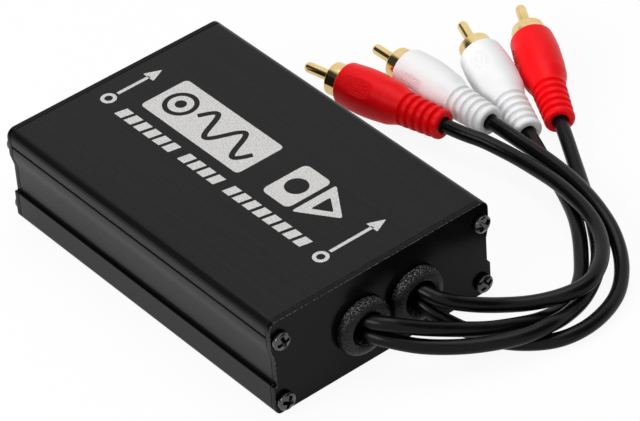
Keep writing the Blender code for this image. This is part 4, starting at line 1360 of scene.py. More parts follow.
@dataclass(frozen=True)
class Plugs:
    """Moulded plugs with ribbed strain reliefs, grip patches, gold collars and pins."""

    tail_radius: float = 4.45 * MM
    tail_length: float = 1.7 * MM
    tail_round: float = 0.9 * MM
    rib_radius: float = 5.0 * MM
    last_rib_radius: float = 4.5 * MM
    groove_depth: float = 1.3 * MM
    rib_count: int = 4
    rib_pitch: float = 2.6 * MM
    rib_gap: float = 1.2 * MM
    groove_spread: float = 0.15 * MM
    # Where a groove's points lie across it, and how square its floor is
    groove_shares: tuple[float, ...] = (0.0, 0.03, 0.08, 0.15, 0.24, 0.36, 0.5, 0.64, 0.76, 0.85,
                                        0.92, 0.97, 1.0)
    groove_power: float = 0.6
    shoulder: float = 6.0 * MM
    body_radius: float = 6.9 * MM
    body_length: float = 16.4 * MM
    nose_radius: float = 6.4 * MM
    nose_round: float = 1.1 * MM
    grip_half_thickness: float = 6.35 * MM
    grip_length: float = 12.0 * MM
    grip_fade: float = 1.4 * MM
    grip_lead: float = 1.2 * MM
    patch_length: float = 9.4 * MM
    patch_width: float = 6.4 * MM
    patch_depth: float = 0.08 * MM
    patch_edge: float = 0.5
    patch_side: float = 0.6
    patch_middle: float = 27.6 * MM
    dot_pitch: float = 0.8 * MM
    dot_radius: float = 0.27 * MM
    dot_unevenness: float = 0.25
    collar_radius: float = 4.9 * MM
    collar_wall: float = 0.6 * MM
    collar_reach: float = 4.1 * MM
    collar_seat: float = 2.4 * MM
    pin_radius: float = 1.6 * MM
    pin_reach: float = 10.7 * MM
    insulator_length: float = 4.0 * MM
    clearance: float = 0.3 * MM
    lead_radius: float = 2.1 * MM
    lead_seat: float = 2.0 * MM
    lip: float = 0.2 * MM
    seat_bevel: float = 0.05 * MM
    nose_angle: float = 80.0
    swell_steps: int = 40
    shoulder_steps: int = 17
    arc_steps: int = 8
    tip_steps: int = 12
    boot_segments: int = 96
    collar_segments: int = 72
    insulator_segments: int = 64
    pin_segments: int = 48
    boot_sharp: float = 50.0

    @property
    def neck(self) -> float:
        """Length of the tail and the ribs."""
        return self.tail_length + self.rib_count * self.rib_pitch + self.rib_gap

    @property
    def boot_length(self) -> float:
        """Length of the whole boot."""
        return self.neck + self.shoulder + self.body_length

    @property
    def seat(self) -> float:
        """Height of the collar's seat in the nose."""
        return self.boot_length - self.collar_seat

    def boot_profile(self) -> list[Point]:
        """Half section of the boot, from the collar's seat over the nose to the lead's entry.

        Returns:
            Points of (radius, height), with the tail at 0.
        """
        nose_base = self.boot_length - self.nose_round
        body_start = self.neck + self.shoulder
        bore = self.collar_radius + self.clearance
        entry = self.lead_radius + self.clearance
        profile = [(0.0, self.seat), (bore, self.seat), (bore, self.boot_length - self.seat_bevel)]
        profile += arc((self.nose_radius - self.nose_round, nose_base), self.nose_round,
                       self.nose_angle, 0, self.arc_steps)
        for step in range(1, self.swell_steps + 1):
            share = step / self.swell_steps
            swell = math.sin(math.pi * share)
            profile.append((
                self.nose_radius + (self.body_radius - self.nose_radius) * swell,
                nose_base + (body_start - nose_base) * share))
        for step in range(1, self.shoulder_steps):
            share = step / self.shoulder_steps
            profile.append((
                self.nose_radius + (self.rib_radius - self.nose_radius) * smoothstep(share),
                body_start - self.shoulder * share))
        width = self.rib_gap + 2 * self.groove_spread
        narrowing = self.last_rib_radius - self.rib_radius
        for rib in range(self.rib_count + 1):
            top = self.neck - rib * self.rib_pitch + self.groove_spread
            crown = self.rib_radius + narrowing * rib / self.rib_count
            for share in self.groove_shares:
                sink = self.groove_depth * math.sin(math.pi * share) ** self.groove_power
                profile.append((crown - sink, top - width * share))
        profile += arc((self.tail_radius - self.tail_round, self.tail_round), self.tail_round,
                       0, -90, self.arc_steps)
        return profile + [(entry + self.lip, 0.0), (entry, self.lip), (entry, self.lead_seat),
                          (0.0, self.lead_seat)]

    def boot_mesh(self) -> Mesh:
        """The turned boot with its grip pressed flat and an oval patch sunk into each flat.

        Returns:
            The boot in its own frame, tail at the origin.
        """
        mesh = turned("plug_boot", self.boot_profile(), self.boot_segments)
        flat_start = self.boot_length - self.grip_length
        for vertex in mesh.vertices:
            x, y, s = vertex.co
            hold = smoothstep((s - flat_start + self.grip_lead) / self.grip_fade)
            excess = abs(x) - self.grip_half_thickness
            if excess > 0:
                x -= math.copysign(excess * hold, x)
            spread = math.hypot(2 * (s - self.patch_middle) / self.patch_length,
                                2 * y / self.patch_width)
            if abs(x) > self.patch_side * self.body_radius and spread < 1:
                sink = self.patch_depth * smoothstep((1 - spread) / self.patch_edge)
                x -= math.copysign(sink, x)
            vertex.co.x = x
        return finish_mesh(mesh, self.boot_sharp)

    def dots_mesh(self, material: Material) -> Mesh:
        """The grip dots of both patches.

        Args:
            material: Finish of the dots.

        Returns:
            The dots in the plug's own frame.
        """
        flat = Repeats.grip_dots(
            "grip_dots", self.patch_length, self.patch_width, self.dot_pitch, self.dot_radius,
            self.dot_unevenness * self.dot_pitch, material)
        surface = self.grip_half_thickness - self.patch_depth
        sides = []
        for side in (-1, 1):
            dots = flat.copy()
            dots.transform(Matrix.Translation((side * surface, 0.0, self.patch_middle))
                           @ rotation(-90, "Y"))
            sides.append(dots)
        both = joined("grip_dots", sides)
        both.shade_smooth()
        return both

    def tube_mesh(self, name: str, outer: float, inner: float, low: float, high: float,
                  segments: int) -> Mesh:
        """A turned tube with eased lips.

        Args:
            name: Name of the mesh.
            outer: Outer radius.
            inner: Inner radius.
            low: Height of its lower end.
            high: Height of its upper end.
            segments: Parts of a full turn.

        Returns:
            The tube in the plug's own frame.
        """
        tube = [(inner, high), (outer, high), (outer, low), (inner, low)]
        return turned(name, eased(tube, self.lip), segments, closed=True)

    def collar_mesh(self) -> Mesh:
        """The outer contact.

        Returns:
            The collar in the plug's own frame.
        """
        return self.tube_mesh(
            "plug_collar", self.collar_radius, self.collar_radius - self.collar_wall,
            self.seat + self.clearance, self.boot_length + self.collar_reach,
            self.collar_segments)

    def insulator_mesh(self) -> Mesh:
        """The disc between collar and pin.

        Returns:
            The insulator in the plug's own frame.
        """
        low = self.seat + self.clearance
        return self.tube_mesh(
            "plug_insulator", self.collar_radius - self.collar_wall - self.clearance,
            self.pin_radius + self.clearance, low, low + self.insulator_length,
            self.insulator_segments)

    def pin_mesh(self) -> Mesh:
        """The centre pin with its round tip.

        Returns:
            The pin in the plug's own frame.
        """
        high = self.boot_length + self.collar_reach + self.pin_reach
        tip = arc((0.0, high - self.pin_radius), self.pin_radius, 90, 0, self.tip_steps)
        low = self.seat + self.clearance
        return turned("plug_pin", tip + [(self.pin_radius, low), (0.0, low)], self.pin_segments)

    def build(self, workshop: Workshop) -> dict[int, list[Object]]:
        """Make the four plugs.

        Args:
            workshop: Makes the pieces.

        Returns:
            The pieces of each plug, by number.
        """
        finishes = workshop.finishes
        boots = {Channel.RED: finishes.red_boot, Channel.WHITE: finishes.white_boot}
        shapes = {"boot": self.boot_mesh(), "collar": self.collar_mesh(),
                  "insulator": self.insulator_mesh(), "pin": self.pin_mesh()}
        plugs = {}
        for number, place in PLUG_PLACES.items():
            boot = boots[place.channel]
            dressing = {"boot": boot, "collar": finishes.gold, "insulator": finishes.white_plastic,
                        "pin": finishes.gold}
            pieces = []
            for part, shape in shapes.items():
                mesh = shape.copy()
                mesh.transform(place.matrix)
                pieces.append(workshop.piece(
                    f"plug_{number}_fine_{part}", mesh, dressing[part], (f"plug_{number}_{part}",)))
            dots = self.dots_mesh(workshop.material(boot))
            dots.transform(place.matrix)
            pieces.append(workshop.piece(f"plug_{number}_grip_dots", dots, boot))
            plugs[number] = pieces
        return plugs


# Case

@dataclass(frozen=True)
class Case:
    """The two extruded shells and the two end plates."""

    half_width: float = 37.0 * MM
    height: float = 30.4 * MM
    length: float = 110.0 * MM
    wall: float = 1.6 * MM
    clearance: float = 0.3 * MM
    plate: float = 1.5 * MM
    plate_edge: float = 0.18 * MM
    seam: float = 0.08 * MM
    top_corner: float = 2.6 * MM
    bottom_corner: float = 1.8 * MM
    recess: float = 1.0 * MM
    shoulder_top: float = 21.8 * MM
    shoulder_drop: float = 3.8 * MM
    ledge: float = 9.3 * MM
    channel: float = 2.8 * MM
    groove_height: float = 25.4 * MM
    groove_width: float = 0.8 * MM
    groove_depth: float = 0.5 * MM
    board_low: float = 8.6 * MM
    board: float = 1.6 * MM
    slot_depth: float = 1.4 * MM
    slot_lip: float = 1.2 * MM
    rib: float = 1.2 * MM
    screw_inset: float = 3.0 * MM
    upper_screw: float = 24.2 * MM
    lower_screw: float = 3.9 * MM
    screw_hole: float = 1.7 * MM
    port_wall: float = 1.2 * MM
    grommet_neck: float = 6.2 * MM
    socket_hole: float = 4.45 * MM
    shoulder_ease: float = 1.7 * MM
    edge: float = 0.14 * MM
    corner_ease: float = 0.22 * MM
    crown_steps: int = 14
    shoulder_steps: int = 6
    arc_steps: int = 10
    screw_hole_steps: int = 32
    grommet_hole_steps: int = 64
    socket_hole_steps: int = 48

    @property
    def recessed(self) -> float:
        """Half width at the recessed side wall."""
        return self.half_width - self.recess

    @property
    def screw_x(self) -> float:
        """How far out the screws are."""
        return self.half_width - self.screw_inset

    @property
    def port(self) -> float:
        """Outer radius of a screw port."""
        return self.screw_hole + self.port_wall

    def crown(self) -> list[Point]:
        """The top of the section's right half: centre line to the foot of the round corner."""
        corner = (self.half_width - self.top_corner, self.height - self.top_corner)
        return [(0.0, self.height)] + arc(corner, self.top_corner, 90, 0, self.crown_steps)

    def foot(self, start: float, end: float) -> list[Point]:
        """The round corner at the bottom of the section's right half."""
        corner = (self.half_width - self.bottom_corner, self.bottom_corner)
        return arc(corner, self.bottom_corner, start, end, self.arc_steps)

    def shoulder(self) -> list[Point]:
        """The soft step in from the upper wall to the recessed wall.

        Returns:
            Points from the upper wall down.
        """
        foot = self.shoulder_top - self.shoulder_drop
        return eased([
            (self.half_width, self.shoulder_top + 2 * self.shoulder_ease),
            (self.half_width, self.shoulder_top), (self.recessed, foot),
            (self.recessed, foot - 2 * self.shoulder_ease)],
            self.shoulder_ease, self.shoulder_steps, closed=False)[1:-1]

    def plate_outline(self) -> list[Point]:
        """The end plate's outline.

        Returns:
            A closed outline, X across and Y up.
        """
        half = (self.crown() + self.shoulder()
                + [(self.recessed, self.ledge), (self.half_width, self.ledge)] + self.foot(0, -90))
        return eased(mirrored(half + [(0.0, 0.0)]), self.corner_ease)

    def cover_outline(self) -> list[Point]:
        """The top shell's section.

        Returns:
            A closed outline, X across and Y up.
        """
        inner = self.recessed - self.wall
        roof = self.height - self.wall
        foot = self.ledge - self.channel + self.clearance
        half = self.crown() + [
            (self.half_width, self.groove_height + self.groove_width / 2),
            (self.half_width - self.groove_depth, self.groove_height),
            (self.half_width, self.groove_height - self.groove_width / 2),
            *self.shoulder(),
            (self.recessed, foot),
            (inner, foot),
            (inner, self.upper_screw - self.port),
        ]
        half += arc((self.screw_x, self.upper_screw), self.port, 270, 180, self.arc_steps)
        half += [(self.screw_x - self.port, roof), (0.0, roof)]
        return eased(mirrored(half), self.corner_ease)

    def tray_outline(self) -> list[Point]:
        """The bottom shell's section.

        Returns:
            A closed outline, X across and Y up.
        """
        strip_inner = self.recessed + self.clearance
        rib_outer = self.recessed - self.wall - self.clearance
        rib_inner = rib_outer - self.rib
        lip_inner = rib_inner - self.slot_depth
        channel_floor = self.ledge - self.channel
        port_end = 180 - math.degrees(math.acos((self.screw_x - rib_inner) / self.port))
        slot_floor = self.board_low - self.clearance
        slot_roof = self.board_low + self.board + self.clearance
        half = [(0.0, 0.0)] + self.foot(-90, 0) + [
            (self.half_width, self.ledge), (strip_inner, self.ledge),
            (strip_inner, channel_floor), (rib_outer, channel_floor),
            (rib_outer, slot_roof + self.slot_lip), (lip_inner, slot_roof + self.slot_lip),
            (lip_inner, slot_roof), (rib_inner, slot_roof),
            (rib_inner, slot_floor), (lip_inner, slot_floor),
            (lip_inner, slot_floor - self.slot_lip), (rib_inner, slot_floor - self.slot_lip),
        ]
        half += arc((self.screw_x, self.lower_screw), self.port, port_end, 180, self.arc_steps)
        half += [(self.screw_x - self.port, self.wall), (0.0, self.wall)]
        return eased(mirrored(half), self.corner_ease / 2)

    def screw_holes(self, heights: list[float]) -> list[list[Point]]:
        """The screw holes on both sides at each height."""
        return [ring((side.value * self.screw_x, height), self.screw_hole, self.screw_hole_steps)
                for height in heights for side in Hand]

    def fitting_holes(self) -> dict[End, list[list[Point]]]:
        """The holes round the grommets and the sockets.

        Returns:
            The holes of each end's plate.
        """
        grommets = [middle(f"grommet_{hand.name.lower()}") for hand in Hand]
        sockets = [middle(f"socket_{number}_sleeve") for number in CHANNEL_NUMBERS]
        neck = self.grommet_neck + self.clearance
        return {End.INPUT: [ring((spot.x, spot.z), neck, self.grommet_hole_steps)
                            for spot in grommets],
                End.OUTPUT: [ring((spot.x, spot.z), self.socket_hole, self.socket_hole_steps)
                             for spot in sockets]}

    def build(self, workshop: Workshop) -> None:
        """Make both shells and both plates.

        Args:
            workshop: Makes the pieces.
        """
        finishes = workshop.finishes
        shells = {
            "top_shell": (self.cover_outline(), self.upper_screw),
            "bottom_shell": (self.tray_outline(), self.lower_screw),
        }
        for name, (outline, height) in shells.items():
            mesh = extruded(name, outline, self.screw_holes([height]), self.length, self.edge)
            workshop.piece(f"{name}_extrusion", upright(mesh, 0.0), finishes.anodised, (name,))
        # The plate is drawn up to the shells, so that only a fine seam shows
        drawn = self.plate + self.clearance - self.seam
        centre_y = self.length / 2 + self.seam + drawn / 2
        plate_finish = {End.INPUT: finishes.plate, End.OUTPUT: finishes.far_plate}
        for end, holes in self.fitting_holes().items():
            holes = holes + self.screw_holes([self.upper_screw, self.lower_screw])
            mesh = extruded("end_plate", self.plate_outline(), holes, drawn, self.plate_edge)
            node = f"{end.name.lower()}_end_plate"
            workshop.piece(f"{node}_fine", upright(mesh, end.value * centre_y),
                           plate_finish[end], (node,))


@dataclass(frozen=True)
class EndScrews:
    """Eight pan-head screws with cross recesses."""

    head_radius: float = 2.7 * MM
    head_height: float = 1.7 * MM
    head_edge: float = 0.75 * MM
    shank_radius: float = 1.4 * MM
    shank_length: float = 8.0 * MM
    tip: float = 0.7 * MM
    recess_span: float = 4.0 * MM
    recess_slot: float = 1.15 * MM
    recess_depth: float = 1.3 * MM
    recess_point: float = 1.1 * MM
    recess_land: float = 2.2 * MM
    recess_taper: float = 0.7
    thread_pitch: float = 0.5 * MM
    thread_depth: float = 0.18 * MM
    # Shares of a thread's pitch where its ridge ends and its valley lies
    thread_ridge: float = 0.2
    thread_valley: float = 0.6
    head_bevel: float = 0.15 * MM
    dome_power: float = 2.2
    arm_steps: int = 5
    widening_steps: int = 6
    dome_steps: int = 8
    sharp: float = 30.0
    flat_weight: int = 50
    # Each screw stopped at its own turn, in degrees
    spins: tuple[int, ...] = (12, 40, 65, 28, 51, 8, 74, 33)

    def dome_height(self, radius: float) -> float:
        """Height of the head's domed top.

        Args:
            radius: Distance from the middle.

        Returns:
            Height above the underside of the head.
        """
        rise = self.head_height - self.head_edge
        fall = (radius / self.head_radius) ** self.dome_power
        return self.head_edge + rise * math.sqrt(max(0.0, 1 - fall))

    def cross_reach(self, angle: float) -> float:
        """How far the cross recess reaches from the middle.

        Args:
            angle: Direction in degrees.

        Returns:
            Distance to the recess's wall.
        """
        off_arm = math.radians(min(angle % 90, 90 - angle % 90))
        if math.tan(off_arm) <= self.recess_slot / self.recess_span:
            return self.recess_span / 2 / math.cos(off_arm)
        return self.recess_slot / 2 / math.sin(off_arm)

    def cross_angles(self) -> list[float]:
        """Directions of a ring's points, with one at each corner of the recess.

        Returns:
            Angles in degrees.
        """
        arm = math.degrees(math.atan2(self.recess_slot, self.recess_span))
        side = [arm + (45 - arm) * step / self.arm_steps for step in range(self.arm_steps + 1)]
        quarter = [0.0] + side + [90 - angle for angle in side[-2::-1]]
        return [90 * turn + angle for turn in range(4) for angle in quarter]

    def below_head(self) -> list[Point]:
        """Half section from the head's rim down the shank with its thread ridges.

        Returns:
            Points of (radius, height).
        """
        profile = [(self.head_radius, self.head_bevel),
                   (self.head_radius - self.head_bevel, 0.0), (self.shank_radius, 0.0)]
        turns = int((self.shank_length - self.tip) / self.thread_pitch)
        for turn in range(turns):
            top = -turn * self.thread_pitch
            profile += [(self.shank_radius, top - self.thread_ridge * self.thread_pitch),
                        (self.shank_radius - self.thread_depth,
                         top - self.thread_valley * self.thread_pitch),
                        (self.shank_radius, top - self.thread_pitch)]
        return profile + [(self.shank_radius - self.tip, -self.shank_length),
                          (0.0, -self.shank_length)]

    def screw_mesh(self) -> Mesh:
        """One screw along Z, the underside of its head at Z = 0.

        Returns:
            A closed mesh whose rings start as the cross and widen to the round head.
        """
        angles = self.cross_angles()
        floor = self.head_height - self.recess_depth
        cross = [self.cross_reach(angle) for angle in angles]
        rings = [[(0.0, floor - self.recess_point)] * len(angles),
                 [(reach * self.recess_taper, floor) for reach in cross]]
        for step in range(self.widening_steps + 1):
            widened = [reach + (self.recess_land - reach) * step / self.widening_steps
                       for reach in cross]
            rings.append([(radius, self.dome_height(radius)) for radius in widened])
        for step in range(1, self.dome_steps + 1):
            outwards = math.sin(math.radians(90 * step / self.dome_steps))
            radius = self.recess_land + (self.head_radius - self.recess_land) * outwards
            rings.append([(radius, self.dome_height(radius))] * len(angles))
        rings += [[point] * len(angles) for point in self.below_head()]
        ways = [(math.cos(math.radians(angle)), math.sin(math.radians(angle))) for angle in angles]
        rows = [[(radius * x, radius * y, height) for (radius, height), (x, y) in zip(points, ways)]
                for points in rings]
        return flat_faced(lofted("end_screw", rows, sharp=self.sharp), self.flat_weight)

    def build(self, workshop: Workshop) -> None:
        """Set four screws in each end with Geometry Nodes.

        Args:
            workshop: Makes the pieces.
        """
        finish = workshop.finishes.zinc
        shape = self.screw_mesh()
        spins = iter(self.spins)
        for end in End:
            nodes = [f"{end.name.lower()}_screw_{level}_{hand}"
                     for level in ("upper", "lower") for hand in ("left", "right")]
            places = []
            for node in nodes:
                low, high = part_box(node)
                outer_y = low.y if end is End.INPUT else high.y
                seat = Vector(((low.x + high.x) / 2, outer_y - end.value * self.head_height,
                               (low.z + high.z) / 2))
                places.append(Matrix.Translation(seat) @ rotation(-90 * end.value, "X")
                              @ rotation(next(spins), "Z"))
            name = f"{end.name.lower()}_end_screws"
            mesh = Repeats.on_places(name, shape.copy(), places, workshop.material(finish))
            workshop.piece(name, mesh, finish, tuple(nodes))


@dataclass(frozen=True)
class Grommets:
    """Two domed rubber grommets, two leads in each."""

    hole: float = 4.8 * MM
    neck: float = 6.2 * MM
    flange: float = 8.5 * MM
    depth: float = 3.0 * MM
    rim: float = 1.2 * MM
    lip: float = 1.1 * MM
    inner_radius: float = 7.8 * MM
    inner_depth: float = 1.6 * MM
    clearance: float = 0.3 * MM
    plate: float = 1.5 * MM
    plate_outer_y: float = -56.8 * MM
    # The round edge of the hole: how far out and how far below the top each point is
    mouth: tuple[Point, ...] = ((0.0, 0.9 * MM), (0.25 * MM, 0.35 * MM), (0.65 * MM, 0.06 * MM))
    dome_step: int = 9
    edge: float = 0.25 * MM
    segments: int = 72

    def profile(self) -> list[Point]:
        """Half section of a grommet.

        Returns:
            A closed ring of (radius, height); height 0 is the plate's outer face.
        """
        seat, back = self.clearance, -self.plate - self.clearance
        crown = self.hole + self.lip
        run, rise = self.flange - crown, self.depth - self.rim
        dome = [(crown + run * math.sin(math.radians(a)),
                 seat + self.rim + rise * math.cos(math.radians(a)))
                for a in range(0, 91, self.dome_step)]
        mouth = [(self.hole + out, seat + self.depth - down) for out, down in self.mouth]
        rest = [(self.flange, seat), (self.neck, seat), (self.neck, back),
                (self.inner_radius, back),
                (self.inner_radius - self.inner_depth / 2, back - self.inner_depth),
                (self.hole, back - self.inner_depth)]
        return eased(mouth + dome + rest, self.edge)

    def build(self, workshop: Workshop) -> None:
        """Make both grommets.

        Args:
            workshop: Makes the pieces.
        """
        for hand in Hand:
            node = f"grommet_{hand.name.lower()}"
            mesh = turned(node, self.profile(), self.segments, closed=True)
            centre = middle(node)
            mesh.transform(Matrix.Translation((centre.x, self.plate_outer_y, centre.z))
                           @ rotation(90, "X"))
            workshop.piece(f"{node}_moulding", mesh, workshop.finishes.rubber, (node,))


@dataclass(frozen=True)
class Sockets:
    """Four sockets in the output end: flanged sleeve, coloured insulator, split contact."""

    sleeve: float = 4.15 * MM
    sleeve_wall: float = 0.5 * MM
    flange: float = 5.7 * MM
    flange_thickness: float = 1.3 * MM
    flange_low: float = 57.1 * MM
    front: float = 65.8 * MM
    inner_end: float = 52.0 * MM
    contact: float = 2.1 * MM
    contact_wall: float = 0.4 * MM
    setback: float = 0.8 * MM
    clearance: float = 0.3 * MM
    edge: float = 0.18 * MM
    segments: int = 56
    channels: tuple[Channel, ...] = (Channel.WHITE, Channel.RED, Channel.WHITE, Channel.RED)

    def profiles(self) -> dict[str, list[Point]]:
        """Half sections of a socket's parts.

        Returns:
            A closed ring of (radius, real Y) for each part.
        """
        bore = self.sleeve - self.sleeve_wall
        flange_high = self.flange_low + self.flange_thickness
        sleeve = [(bore, self.front), (self.sleeve, self.front), (self.sleeve, flange_high),
                  (self.flange, flange_high), (self.flange, self.flange_low),
                  (self.sleeve, self.flange_low), (self.sleeve, self.inner_end),
                  (bore, self.inner_end)]
        front = self.front - self.setback
        mouth = self.contact + self.clearance
        insulator = [(mouth, front), (bore - self.clearance, front),
                     (bore - self.clearance, self.inner_end), (mouth, self.inner_end)]
        contact_front = front - self.setback
        contact_bore = self.contact - self.contact_wall
        contact = [(contact_bore, contact_front), (self.contact, contact_front),
                   (self.contact, self.inner_end), (contact_bore, self.inner_end)]
        return {"sleeve": sleeve, "insulator": insulator, "contact": contact}

    def build(self, workshop: Workshop) -> None:
        """Repeat each socket part along the end with Geometry Nodes.

        Args:
            workshop: Makes the pieces.
        """
        finishes = workshop.finishes
        groups = [("sleeve", "sleeves", finishes.gold, list(CHANNEL_NUMBERS)),
                  ("contact", "contacts", finishes.gold, list(CHANNEL_NUMBERS))]
        for channel, finish in ((Channel.RED, finishes.red_plastic),
                                (Channel.WHITE, finishes.white_plastic)):
            chosen = [n for n in CHANNEL_NUMBERS if self.channels[n - 1] is channel]
            groups.append(("insulator", f"{channel.value}_insulators", finish, chosen))
        profiles = self.profiles()
        for part, label, finish, chosen in groups:
            shape = turned(f"socket_{part}", eased(profiles[part], self.edge), self.segments,
                           closed=True)
            centres = [middle(f"socket_{number}_sleeve") for number in chosen]
            places = [Matrix.Translation((centre.x, 0.0, centre.z)) @ rotation(-90, "X")
                      for centre in centres]
            mesh = Repeats.on_places(f"socket_{label}", shape, places, workshop.material(finish))
            workshop.piece(f"socket_{label}", mesh, finish,
                           tuple(f"socket_{number}_{part}" for number in chosen))


@dataclass(frozen=True)
class TopMarking:
    """Plain geometric marking on the lid, in the fields where the real one is printed.

    Each field is drawn in its own frame, read with X along -Y of the case and Y along +X, and
    holds no lettering.
    """

    lid: float = 30.4 * MM
    film: float = 0.02 * MM
    # From here on in millimetres
    panel_low: Point = (-40.1, -3.7)
    panel_high: Point = (2.3, 12.6)
    panel_round: Round = (1.6, 6)
    wave_start: float = 15.0
    wave_height: float = 4.6
    wave_stroke: float = 1.7
    wave_step: float = 0.5
    wave_period: int = 24
    wave_count: int = 2
    dial_middle: float = 7.6
    dial_rings: tuple[Round, Round, Round] = ((5.2, 48), (3.7, 48), (1.7, 32))
    badge_low: Point = (12.0, -3.4)
    badge_size: Point = (11.0, 15.6)
    badge_round: Round = (2.2, 6)
    badge_window: Round = (3.4, 40)
    arrow_gap: float = 1.6
    arrow_length: float = 11.8
    arrow_round: Round = (1.2, 5)
    # The arrowhead's window keeps off its back, its sides and its tip
    arrow_window: Spot = (2.8, 4.4, 3.6)
    window_round: Round = (0.8, 4)
    strip_start: Point = (-41.6, -11.2)
    block_size: Point = (3.0, 3.9)
    block_pitch: float = 4.2
    block_groups: tuple[int, ...] = (6, 4, 8)
    group_gap: float = 2.6
    slant: float = 0.22
    hub_rings: tuple[Round, Round] = ((2.3, 36), (1.2, 28))
    line_width: float = 1.1
    line_gaps: Point = (5.4, 4.6)
    head_length: float = 5.0
    head_width: float = 4.6
    head_round: Round = (0.5, 3)
    # Middle and length of the mark at each end
    flow_marks: tuple[tuple[str, Point, float], ...] = (
        ("output", (0.0, 48.5), 21.0), ("input", (0.2, -44.6), 24.5))

    def lay(self, mesh: Mesh, turn: float = -90.0, place: Point = (0.0, 0.0)) -> Mesh:
        """Put a flat mesh drawn in millimetres onto the lid.

        Args:
            mesh: Mesh in the field's own frame.
            turn: Turn about Z in degrees.
            place: Where the field's origin is on the lid, in millimetres.

        Returns:
            The same mesh, in place.
        """
        mesh.transform(
            Matrix.Translation((place[0] * MM, place[1] * MM, self.lid + self.film / 2))
            @ rotation(turn, "Z"))
        return mesh

    def flat(self, name: str, outline: list[Point],
             holes: list[list[Point]] | None = None) -> Mesh:
        """Make a thin flat shape from points in millimetres.

        Args:
            name: Name of the mesh.
            outline: Outer ring.
            holes: Rings inside it.

        Returns:
            A mesh in the field's own frame, in metres.
        """
        scaled = [[(x * MM, y * MM) for x, y in points] for points in [outline] + (holes or [])]
        return extruded(name, scaled[0], scaled[1:], self.film)

    def stroke_outline(self, line: list[Point], width: float) -> list[Point]:
        """The outline of a stroke along a line of points.

        Args:
            line: Points of the line.
            width: Stroke width.

        Returns:
            A closed outline.
        """
        left, right = [], []
        for index, point in enumerate(line):
            before = Vector(line[max(index - 1, 0)])
            after = Vector(line[min(index + 1, len(line) - 1)])
            side = (after - before).normalized().orthogonal() * width / 2
            left.append(tuple(Vector(point) + side))
            right.append(tuple(Vector(point) - side))
        return left + right[::-1]

    def panel(self) -> Mesh:
        """A pale panel that a sine wave and a dial of rings are left out of.

        Returns:
            The panel, in place.
        """
        x0, middle_y = self.panel_low[0], (self.panel_low[1] + self.panel_high[1]) / 2
        outline = eased(box_outline(self.panel_low, self.panel_high), *self.panel_round)
        turn = math.radians(360) / self.wave_period
        wave = [(x0 + self.wave_start + self.wave_step * step,
                 middle_y + self.wave_height * math.sin(turn * step))
                for step in range(self.wave_count * self.wave_period + 1)]
        hub = (x0 + self.dial_middle, middle_y)
        clearing, outer, inner = (ring(hub, *size) for size in self.dial_rings)
        pieces = [
            self.flat("panel", outline, [self.stroke_outline(wave, self.wave_stroke), clearing]),
            self.flat("dial", outer, [inner]),
        ]
        return self.lay(joined("marking_panel", pieces))

    def badge(self) -> Mesh:
        """A bold block with a round window beside a bold arrowhead with its own window.

        Returns:
            Both shapes, in place.
        """
        x0, y0 = self.badge_low
        width, height = self.badge_size
        middle_y = y0 + height / 2
        block = eased(box_outline((x0, y0), (x0 + width, y0 + height)), *self.badge_round)
        left = x0 + width + self.arrow_gap
        tip = left + self.arrow_length
        arrow = eased([(left, y0), (tip, middle_y), (left, y0 + height)], *self.arrow_round)
        back, side, front = self.arrow_window
        window = eased([(left + back, y0 + side), (tip - front, middle_y),
                        (left + back, y0 + height - side)], *self.window_round)
        pieces = [
            self.flat("block", block, [ring((x0 + width / 2, middle_y), *self.badge_window)]),
            self.flat("arrow", arrow, [window]),
        ]
        return self.lay(joined("marking_badge", pieces))

    def strip(self, material: Material) -> Mesh:
        """Groups of leaning blocks in a row.

        Args:
            material: Finish of the blocks.

        Returns:
            One mesh of all the groups.
        """
        start = self.strip_start[0]
        groups = []
        for count in self.block_groups:
            group = Repeats.slanted_blocks(
                "marking_strip", count, self.block_pitch * MM,
                Vector((self.block_size[0] * MM, self.block_size[1] * MM, self.film)), self.slant,
                material)
            group.transform(Matrix.Translation((
                (start + self.block_size[0] / 2) * MM,
                (self.strip_start[1] + self.block_size[1] / 2) * MM, 0.0)))
            groups.append(group)
            start += count * self.block_pitch + self.group_gap
        return self.lay(joined("marking_strip", groups))

    def flow_mark(self, name: str, place: Point, length: float) -> Mesh:
        """A ring, a line and an arrowhead that show the way of the signal.

        Args:
            name: Name of the mesh.
            place: Middle of the mark on the lid, in millimetres.
            length: Its length in millimetres.

        Returns:
            The mark, in place.
        """
        start, end = -length / 2, length / 2
        outer, inner = (ring((start + self.hub_rings[0][0], 0.0), *size)
                        for size in self.hub_rings)
        back, half = end - self.head_length, self.head_width / 2
        line = box_outline((start + self.line_gaps[0], -self.line_width / 2),
                           (end - self.line_gaps[1], self.line_width / 2))
        pieces = [
            self.flat("hub", outer, [inner]),
            self.flat("line", line),
            self.flat("head", eased([(back, -half), (end, 0.0), (back, half)], *self.head_round)),
        ]
        return self.lay(joined(name, pieces), 0.0, place)

    def build(self, workshop: Workshop) -> None:
        """Lay all the marking on the lid.

        Args:
            workshop: Makes the pieces.
        """
        finish = workshop.finishes.marking
        marks = {"panel": self.panel(), "badge": self.badge(),
                 "strip": self.strip(workshop.material(finish))}
        for end, place, length in self.flow_marks:
            marks[end] = self.flow_mark(f"marking_{end}", place, length)
        for name, mesh in marks.items():
            workshop.piece(f"marking_{name}", mesh, finish)


class Interior:
    """The pieces inside the closed case, kept as imported and given their real finishes."""

    def build(self, workshop: Workshop) -> None:
        """Dress the board, the transformers and the socket block.

        Args:
            workshop: Dresses the nodes.
        """
        finishes = workshop.finishes
        workshop.dress("circuit_board", finishes.board)
        workshop.dress("socket_block", finishes.block)
        for number in CHANNEL_NUMBERS:
            for part, finish in (("core", finishes.laminations), ("bobbin", finishes.nylon),
                                 ("winding", finishes.tape)):
                workshop.dress(f"transformer_{number}_{part}", finish)


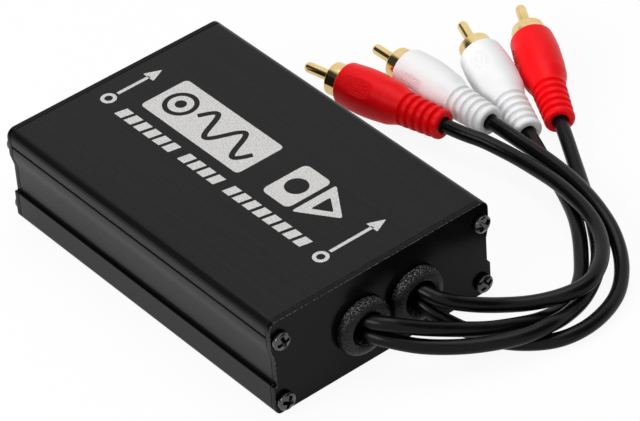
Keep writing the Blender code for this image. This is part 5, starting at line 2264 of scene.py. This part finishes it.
def main() -> None:
    """Build the camera, the leads and then every other piece."""
    logging.basicConfig(level=logging.INFO, format="%(message)s")
    workshop = Workshop()
    studio = Studio()
    studio.build_camera()
    leads = Leads()
    leads.build(workshop)
    Plugs().build(workshop)
    for part in (Case(), EndScrews(), Grommets(), Sockets(), TopMarking(), Interior()):
        part.build(workshop)
    studio.build_floor()
    studio.build_world()
    studio.build_lights()


if __name__ == "__main__":
    main()
